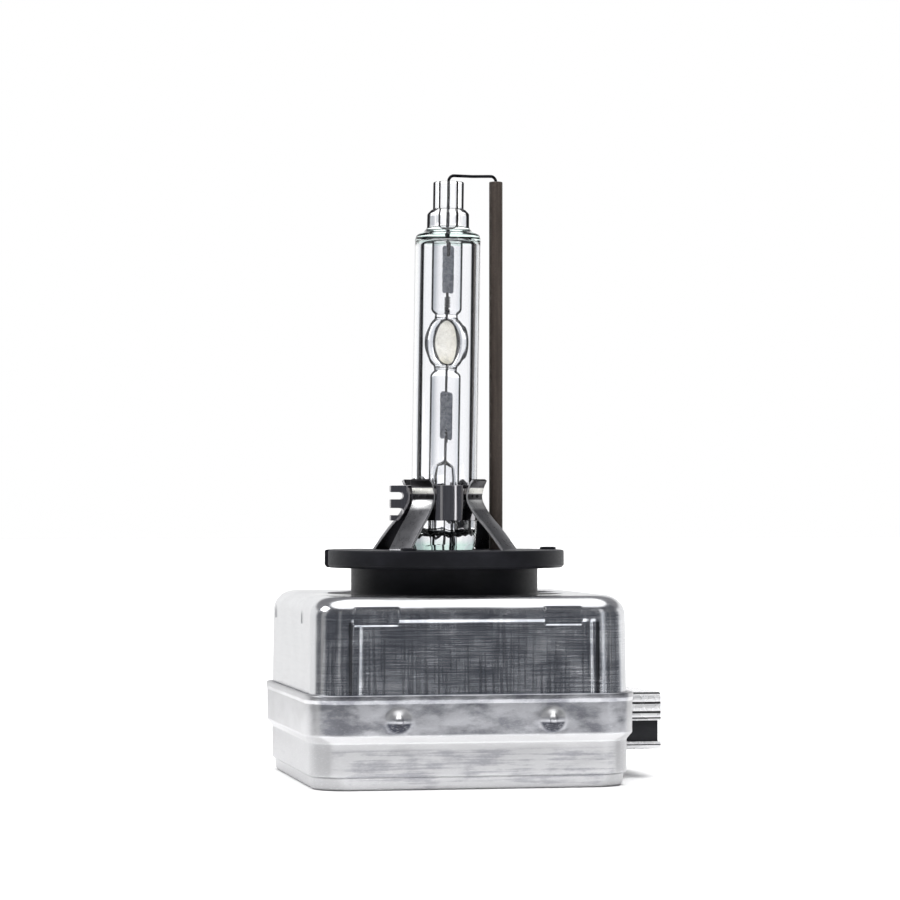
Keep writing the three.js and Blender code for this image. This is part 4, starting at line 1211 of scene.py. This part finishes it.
def foil_strip(name, node, span, degrees, pattern):
    """A foil thinned to a feather at its edges, crinkled where the wires are welded to it."""
    low, high = span.z0, span.z1
    width, thick = 0.65, 0.06
    rings = []
    rows = 46
    for row in range(rows + 1):
        share = row / rows
        z = low + (high - low) * share
        end = min(ease(share, 0.0, 0.04), 1 - ease(share, 0.96, 1.0))
        half = width * (0.8 + 0.2 * end)
        ring = []
        for i in range(24):
            angle = 2 * math.pi * i / 24
            x, y = half * math.cos(angle), thick * (0.35 + 0.65 * end) * math.sin(angle)
            crease = 0.035 * noise.noise(Vector((x * 2.2, 0.0, z * 2.6 + pattern)))
            ring.append((x, y + crease, z))
        rings.append(ring)
    verts, faces = skin(rings)
    welds = []
    for z in (low + 0.5, low + 1.0, high - 1.0, high - 0.5):
        spot, spot_faces = lathe([(0, -0.13), (0.14, -0.08), (0.2, 0.0), (0.14, 0.08), (0, 0.13)], 12)
        welds.append(shell(turned([(x, y, z + h * 1.6) for x, y, h in spot], degrees), spot_faces))
    return piece(name, [shell(turned(verts, degrees), faces), *welds], [FOIL], [node], 60)


def lead(name, node, points, size):
    return piece(name, [shell(*tube(smooth_path(points, 5), size))], [DARK_WIRE], [node], 60)


# ---- The return wire and its ceramic tube --------------------------------------------------------

LEAN = 0.014  # how far the fused burner leans to the right over its height
LEAN_FROM = SLEEVE.middle_z


def lean(made, straight_at=None):
    """Leans a piece about the clamp, but none of it that lies as far out as straight_at."""
    for vert in made.data.vertices:
        share = 1.0
        if straight_at:
            share = 1.0 - min(max(vert.co.x / MM / straight_at, 0.0), 1.0)
        vert.co.x += LEAN * share * (vert.co.z - LEAN_FROM * MM)


def quarter_turn(x, z, radius, start):
    """The points inside a clockwise quarter turn about (x, z), in the plane through both tubes."""
    angles = [start - step / 8 * math.pi / 2 for step in range(1, 8)]
    return [(x + radius * math.cos(angle), z + radius * math.sin(angle)) for angle in angles]


def return_wire():
    top, bend, start = RETURN.z1 - 0.2, 0.75, UPPER_LEAD.z1 + 0.05
    below = top - bend
    path = [(0.0, start), (0.02, start + 1.2), (0.0, below)]
    path += quarter_turn(bend, below, bend, math.pi)
    path += [(bend, top), (RETURN_AT / 2, top - 0.06), (RETURN_AT - bend, top)]
    path += quarter_turn(RETURN_AT - bend, below, bend, math.pi / 2)
    path += [(RETURN_AT, below), (RETURN_AT, 50.0), (RETURN_AT, RETURN.z0 + 0.2)]
    made = [shell(*tube([Vector((x, 0.0, z)) for x, z in path], 0.2, 20))]
    return piece("return_wire", made, [DARK_WIRE], ["return_lead"], 60)


def insulating_tube():
    bore, outside = 0.35, 0.88
    profile = soften([
        (bore, CERAMIC.z0),
        (outside, CERAMIC.z0, 0.1),
        (outside, CERAMIC.z1, 0.16),
        (bore, CERAMIC.z1, 0.1),
    ], closed=True)
    made = shell(*lathe(profile, 48, (RETURN_AT, 0.0)))
    return piece("insulating_tube", [made], [BROWN_CERAMIC], ["ceramic_tube"])


# ---- The clamp -----------------------------------------------------------------------------------


LEG_CONTACT_Z = 36.65  # where a leg is welded to the band


def leg_line():
    """The leg's middle line as (radius, z), from its foot in the base to its curled tip."""
    c = SLEEVE_R + 0.05 + LEG_THICK / 2
    points = [
        (LEG_FOOT_R, 0, LEG.z0),
        (LEG_FOOT_R, 0, 28.6),
        (LEG_FOOT_R, 0, 29.5),
        (9.85, 0, 30.05),
        (7.9, 0, 32.3),
        (6.6, 0, 33.6),
        (5.65, 0, 34.7),
        (5.05, 0, 35.6),
        (c + 0.07, 0, 36.2),
        (c, 0, LEG_CONTACT_Z),
        (c + 0.06, 0, 37.0),
        (c + 0.2, 0, 37.55),
        (c + 0.45, 0, 38.15),
        (c + 0.85, 0, 38.75),
    ]
    return smooth_path(points, 6)


SHEARED_SIDES = (7, 15)  # the faces along the strip's two narrow sides, counted round its section


def rectangle(across, thick, corner):
    """A rectangle's outline, as half its width and half its thickness, with rounded corners."""
    signs = ((-1, -1), (1, -1), (1, 1), (-1, 1))
    return soften([(u * across, v * thick, corner) for u, v in signs], True, 3)


def leg_strip(degrees):
    """The bent strip, slightly dished along its slope and narrowed at its tip."""
    line = leg_line()
    across = LEG_WIDTH / 2
    section = rectangle(across, LEG_THICK / 2, 0.07)
    rings = []
    for i, (middle, tangent) in enumerate(zip(line, tangents_of(line))):
        out = Vector((tangent.z, 0, -tangent.x))
        share = i / (len(line) - 1)
        narrow = 1 - 0.07 * ease(share, 0.94, 1.0)
        dish = 0.05 * ease(share, 0.12, 0.3)
        rings.append([])
        for u, v in section:
            place = middle + out * (v - dish * (u / across) ** 2)
            rings[-1].append((place.x, u * narrow, place.z))
    strip = turned_shell(skin(rings), degrees)
    for i, face in enumerate(strip.faces):
        if i % len(section) in SHEARED_SIDES and len(face.verts) == 4:
            face.material_index = 1
    return strip


def leg_piece(node, degrees):
    made = [leg_strip(degrees)]
    outer = SLEEVE_R + 0.05 + LEG_THICK
    for y in (-0.55, 0.5):
        spot, faces = lathe([(0, -0.2), (0.2, -0.1), (0.22, 0.03), (0.12, 0.09), (0, 0.05)], 16)
        verts = [(outer + out, y + side, LEG_CONTACT_Z + up) for up, side, out in spot]
        made.append(turned_shell((verts, faces), degrees))
    materials = [LEG_STEEL, SHEARED_EDGE_AND_HIGHLIGHT]
    return piece(node.replace("leg", "clamp_leg"), made, materials, [node], 40)


def clamp_sleeve():
    """The band round the tube, its edges slightly rounded, and the comb-shaped tails at its ends."""
    inner, outer = TUBE_R + 0.04, SLEEVE_R
    low, high = SLEEVE.z0, SLEEVE.z1
    section = soften([(inner, low), (outer, low, 0.04), (outer, high, 0.04), (inner, high)], True, 3)
    rings = []
    for step in range(181):
        angle = math.radians(-178 + 356 * step / 180)
        lump = 0.02 * noise.noise(Vector((math.cos(angle) * 2, math.sin(angle) * 2, 3.3)))
        rings.append([((r + lump) * math.cos(angle), (r + lump) * math.sin(angle), z) for r, z in section])
    made = [shell(*skin(rings))]
    for side in (1, -1):
        made.append(shell(*comb_tail(side)))
    return piece("clamp_band", made, [SLEEVE_STEEL], ["clamp_sleeve"], 40)


def comb_tail(side):
    """One tail, a plate with two round-ended slots in from its tip."""
    tip, root = SLEEVE.x0, -SLEEVE_R + 0.12
    low, high = SLEEVE.z0, SLEEVE.z1
    cut, depth = 0.48, 1.25
    outline = [(root, low), (tip, low, 0.12)]
    for z in (low + 1.15, low + 3.25):
        outline.append((tip, z - cut, 0.1))
        for step in range(9):
            angle = -math.pi / 2 + math.pi * step / 8
            outline.append((tip + depth + cut * math.cos(angle), z + cut * math.sin(angle)))
        outline.append((tip, z + cut, 0.1))
    outline += [(tip, high, 0.12), (root, high)]
    outline = soften(outline, True, 3)
    near, far = side * 0.12, side * 0.5
    rings = []
    middle_x, middle_z = (tip + root) / 2, (low + high) / 2
    for y, shrink in ((near, 0.985), (near + side * 0.04, 1.0), (far - side * 0.04, 1.0), (far, 0.985)):
        rings.append([])
        for x, z in outline:
            place = (middle_x + (x - middle_x) * shrink, y, middle_z + (z - middle_z) * shrink)
            rings[-1].append(place)
    return skin(rings)


# ---- The plug socket -----------------------------------------------------------------------------


def rounded_box_rings(places, y, z0, z1, corner):
    """Rings along X of a box with round edges. Places gives (x, grow) pairs."""
    rings = []
    for x, grow in places:
        side, low, high = y + grow, z0 - grow, z1 + grow
        outline = [(-side, low), (side, low), (side, high), (-side, high)]
        ring = soften([(u, v, max(corner + grow, 0.12)) for u, v in outline], True, 5)
        rings.append([(x, u, v) for u, v in ring])
    return rings


WINDOW_Z = (4.75, 7.5)
PIN_Y = {"left": -3.6, "middle": 0.0, "right": 3.6}


def slit(side, depth, x, z0, z1):
    """A cutter from beside the shroud into its wall, as far as depth, and out of its mouth."""
    near, far = sorted((side * (SHROUD.y1 + 1), side * (SHROUD.y1 - depth)))
    return shell(*block(x, SHROUD.x1 + 1, near, far, z0, z1))


def connector_shroud():
    sheet, end, corner = 0.45, SHROUD.x1, 0.7
    size = (SHROUD.y1, SHROUD.z0, SHROUD.z1, corner)
    outside = [(SHROUD.x0, 0), (end - 1.6, 0), (end - 0.9, 0.0), (end - 0.12, 0.0), (end, -0.1)]
    inside = [(end, -sheet + 0.1), (end - 0.12, -sheet), (SHROUD.x0, -sheet)]
    rings = rounded_box_rings(outside, *size) + rounded_box_rings(inside, *size)
    made = [shell(*skin(rings, closed_rows=True))]
    shroud = piece("socket_shroud", made, [PLATED], ["connector_shroud"])
    cuts = []
    for side in (-1, 1):
        for z, half, depth in SHROUD_RIBS:
            cuts.append(slit(side, depth, TRAY_BAND_HALF + 0.25, z - half, z + half))
        cuts.append(slit(side, 1, TRAY_BAND_HALF + 0.3, *WINDOW_Z))
    carve(shroud, cuts)
    bevel(shroud, 0.06, 45)


def connector_body():
    skin_in, wall, floor, end = 0.5, 0.8, 19.6, PLUG.x1
    size = (SHROUD.y1 - skin_in, SHROUD.z0 + skin_in, SHROUD.z1 - skin_in, 0.45)
    outside = [(PLUG.x0, 0), (end - 0.1, 0), (end, -0.08)]
    inside = [(end, -wall + 0.08), (end - 0.15, -wall), (floor, -wall)]
    rings = rounded_box_rings(outside, *size) + rounded_box_rings(inside, *size)
    body = piece("socket_body", [shell(*skin(rings))], [HOUSING_PLASTIC], ["connector_body"])
    half, middle = 0.55, SHROUD.middle_z
    holes = []
    for y in PIN_Y.values():
        holes.append(shell(*block(PLUG.x0 - 1, floor + 1, y - half, y + half, middle - half, middle + half)))
    carve(body, holes)
    bevel(body, 0.05, 45)


def socket_pin(place, pin_y):
    """A square pin, its tip drawn to a blunt point."""
    name = f"connector_pin_{place}"
    node = Span(name)
    rings = []
    for x, half in ((node.x0, 0.5), (node.x1 - 0.7, 0.5), (node.x1 - 0.15, 0.3), (node.x1, 0.2)):
        rings.append([(x, pin_y + u, node.middle_z + v) for u, v in rectangle(half, half, 0.08)])
    piece(f"pin_{place}", [shell(*skin(rings))], [TINNED], [name])


# ---- What the can hides: the CAD's own solids, finished ------------------------------------------


def finish_inside():
    finishes = {
        "black_plastic": HOUSING_PLASTIC,
        "tinned_copper": TINNED,
        "copper": WOUND,
        "ferrite": FERRITE,
        "bobbin_plastic": BOBBIN,
        "white_ceramic": WHITE_CERAMIC,
        "capacitor_epoxy": EPOXY,
        "resistor_lacquer": LACQUER,
        "potting": POTTING,
        "plated_shroud": PLATED,
        "molybdenum": FOIL,
        "bright_wire": DARK_WIRE,
    }
    slots = {}
    for subpart in frame["record"]["subparts"]:
        slots[subpart["node"]] = subpart["material_slot"]
    for node, made in frame["nodes"].items():
        if made.hide_render:
            continue
        for place in made.material_slots:
            place.material = finishes[slots[node]]


# ---- Floor, light and camera ---------------------------------------------------------------------

VIEW_AZIMUTH = -11  # degrees, from straight ahead towards the can's left
AHEAD = Vector((-math.sin(math.radians(VIEW_AZIMUTH)), math.cos(math.radians(VIEW_AZIMUTH)), 0))
ACROSS = Vector((AHEAD.y, -AHEAD.x, 0))
VIEW_DISTANCE = 0.433
VIEW_HEIGHT = 0.0354
LENS = 132.3  # millimetres, on a sensor 36 wide
VIEW_SHIFT = (0.0064, 0.0622)
NEAR_FLOOR = 0.08  # half the width of the floor that shows in the lamp's gloss
FAR_FLOOR = 3.0
FLOOR_Z = -0.00002
LAMP_MIDDLE = Vector((0, 0, 0.03))
STRIPS = ((38, 2.5, 1.7), (63, 3, 0.22), (-9, 3, 0.4), (-70, 8, 0.4))  # direction, half width, light
OVERHEAD = Vector((0.04, -0.1, 0.99))


def square(half):
    return [(-half, -half), (half, -half), (half, half), (-half, half)]


def floor_piece(name, corners, faces, seen_in_gloss):
    """A flat floor, or a ring of floor round one."""
    mesh = bpy.data.meshes.new(name)
    mesh.from_pydata([(x, y, FLOOR_Z) for x, y in corners], [], faces)
    mesh.materials.append(pale_floor())
    made = bpy.data.objects.new(name, mesh)
    bpy.context.scene.collection.objects.link(made)
    made.visible_glossy = seen_in_gloss


class World(Nodes):
    """Light that comes from all round, given by direction and by the kind of ray that meets it."""

    def __init__(self):
        world = bpy.data.worlds.new("studio")
        bpy.context.scene.world = world
        super().__init__(world)
        self.direction = self.node("ShaderNodeTexCoord").outputs["Generated"]
        self.ray = self.node("ShaderNodeLightPath")

    def towards(self, direction, low, high):
        """0 where the light comes from less than low towards a direction, 1 from more than high."""
        dot = self.node("ShaderNodeVectorMath", operation="DOT_PRODUCT")
        dot.inputs[1].default_value = direction
        self.links.new(self.direction, dot.inputs[0])
        return self.spread(dot.outputs["Value"], low, high)

    def strip(self, degrees, half_width):
        """1 inside an upright strip, this far round from the viewer towards the lamp's right."""
        turn = math.radians(degrees)
        middle = -AHEAD * math.cos(turn) + ACROSS * math.sin(turn)
        beside = middle.cross(Vector((0, 0, 1)))
        half, soft = math.sin(math.radians(half_width)), 0.02
        edges = [self.towards(way, -half - soft, -half) for way in (beside, -beside)]
        return self.times(*edges, self.towards(middle, 0.75, 0.85))

    def finish(self, color):
        self.links.new(color, self.nodes["Background"].inputs["Color"])
        self.nodes["Background"].inputs["Strength"].default_value = 1.0


def studio():
    """A bright backdrop behind the lamp, a bright panel over it, and a dark room in front and beside."""
    world = World()
    room = world.mix(world.towards(-AHEAD, 0.25, 0.6), (0.13, 0.134, 0.146), (0.095, 0.098, 0.11))
    for degrees, half_width, light in STRIPS:
        room = world.mix(world.strip(degrees, half_width), room, (light, light, light))
    above = world.towards(Vector((0, 0, 1)), 0.34, 0.5)
    backdrop = world.mix(above, (0.98, 0.98, 0.98), (0.24, 0.24, 0.25))
    room = world.mix(world.towards(AHEAD, 0.15, 0.35), room, backdrop)
    room = world.mix(world.towards(OVERHEAD, 0.82, 0.87), room, (1.9, 1.9, 1.9))
    through = world.mix(world.towards(ACROSS, 0.2, 0.6), (1.06, 1.06, 1.06), (0.5, 0.52, 0.55))
    through = world.mix(world.towards(-ACROSS, 0.25, 0.7), through, (0.75, 0.77, 0.8))
    color = world.mix(world.ray.outputs["Is Transmission Ray"], room, through)
    world.finish(world.mix(world.ray.outputs["Is Camera Ray"], color, (1.0, 1.0, 1.0)))


def softbox(name, direction, elevation, distance, size, radiance, gloss=True):
    """A square light that faces the lamp from a direction on the ground and an elevation in degrees."""
    data = bpy.data.lights.new(name, "AREA")
    data.shape = "RECTANGLE"
    data.size, data.size_y = size
    data.energy = radiance * math.pi * size[0] * size[1]
    made = bpy.data.objects.new(name, data)
    tilt = math.radians(elevation)
    from_here = direction.normalized() * math.cos(tilt) + Vector((0, 0, math.sin(tilt)))
    made.location = from_here * distance + LAMP_MIDDLE
    made.rotation_euler = from_here.to_track_quat("Z", "Y").to_euler()
    made.visible_camera = False
    made.visible_glossy = gloss
    made.visible_transmission = False
    bpy.context.scene.collection.objects.link(made)


def lights():
    softbox("key", -AHEAD - 0.1 * ACROSS, 52, 0.45, (0.3, 0.2), 2.2, gloss=False)
    softbox("left", Vector((-0.74, 0.05, 0)), 40, 0.5, (0.2, 0.16), 6.0)
    data = bpy.data.lights.new("overhead", "SUN")
    data.energy = 3.0
    data.angle = math.radians(75)
    made = bpy.data.objects.new("overhead", data)
    made.visible_glossy = False
    made.visible_transmission = False
    bpy.context.scene.collection.objects.link(made)


def camera():
    data = bpy.data.cameras.new("camera")
    data.lens = LENS
    data.sensor_width = 36
    data.shift_x, data.shift_y = VIEW_SHIFT
    data.clip_start = 0.01
    made = bpy.data.objects.new("camera", data)
    made.location = -AHEAD * VIEW_DISTANCE + Vector((0, 0, VIEW_HEIGHT))
    made.rotation_euler = (math.pi / 2, 0, math.radians(VIEW_AZIMUTH))
    bpy.context.scene.collection.objects.link(made)
    bpy.context.scene.camera = made


# ---- The lamp ------------------------------------------------------------------------------------

can_shell()
bottom_tray()
lamp_base()
upper, lower = UPPER_LEAD, LOWER_LEAD
upper_way = [(0, 0, upper.z0 - 1.3), (0.06, 0, upper.z0 + 0.3), (-0.05, 0, upper.z0 + 1.2)]
upper_way.append((0, 0, upper.z1 - 0.1))
lower_way = [(0, 0, lower.z1 + 1.2), (0.08, 0, lower.z1 - 0.4), (0, 0, lower.z1 - 2), (0, 0, lower.z0 + 0.2)]
burner = [
    glass_body(),
    salt_deposit(),
    pin("upper_pin", "upper_electrode", UPPER_PIN.z1, UPPER_PIN.z0, -0.1),
    pin("lower_pin", "lower_electrode", LOWER_PIN.z0, LOWER_PIN.z1, 0.12),
    coil(),
    foil_strip("upper_foil_strip", "upper_foil", UPPER_FOIL, 27, 0),
    foil_strip("lower_foil_strip", "lower_foil", LOWER_FOIL, 20, 9),
    lead("upper_wire", "upper_lead", upper_way, 0.22),
    lead("lower_wire", "lower_lead", lower_way, 0.17),
]
for made in burner:
    lean(made)
lean(return_wire(), RETURN_AT)
insulating_tube()
for node, degrees in LEG_TURNS.items():
    leg_piece(node, degrees)
clamp_sleeve()
connector_shroud()
connector_body()
for place, pin_y in PIN_Y.items():
    socket_pin(place, pin_y)
finish_inside()

floor_piece("floor", square(NEAR_FLOOR), [(0, 1, 2, 3)], True)
around = [(i, (i + 1) % 4, 4 + (i + 1) % 4, 4 + i) for i in range(4)]
floor_piece("far_floor", square(NEAR_FLOOR) + square(FAR_FLOOR), around, False)
studio()
lights()
camera()
bpy.context.scene.view_settings.view_transform = "Standard"
bpy.context.scene.cycles.transmission_bounces = 20
bpy.context.scene.cycles.diffuse_bounces = 10
bpy.context.scene.cycles.max_bounces = 28
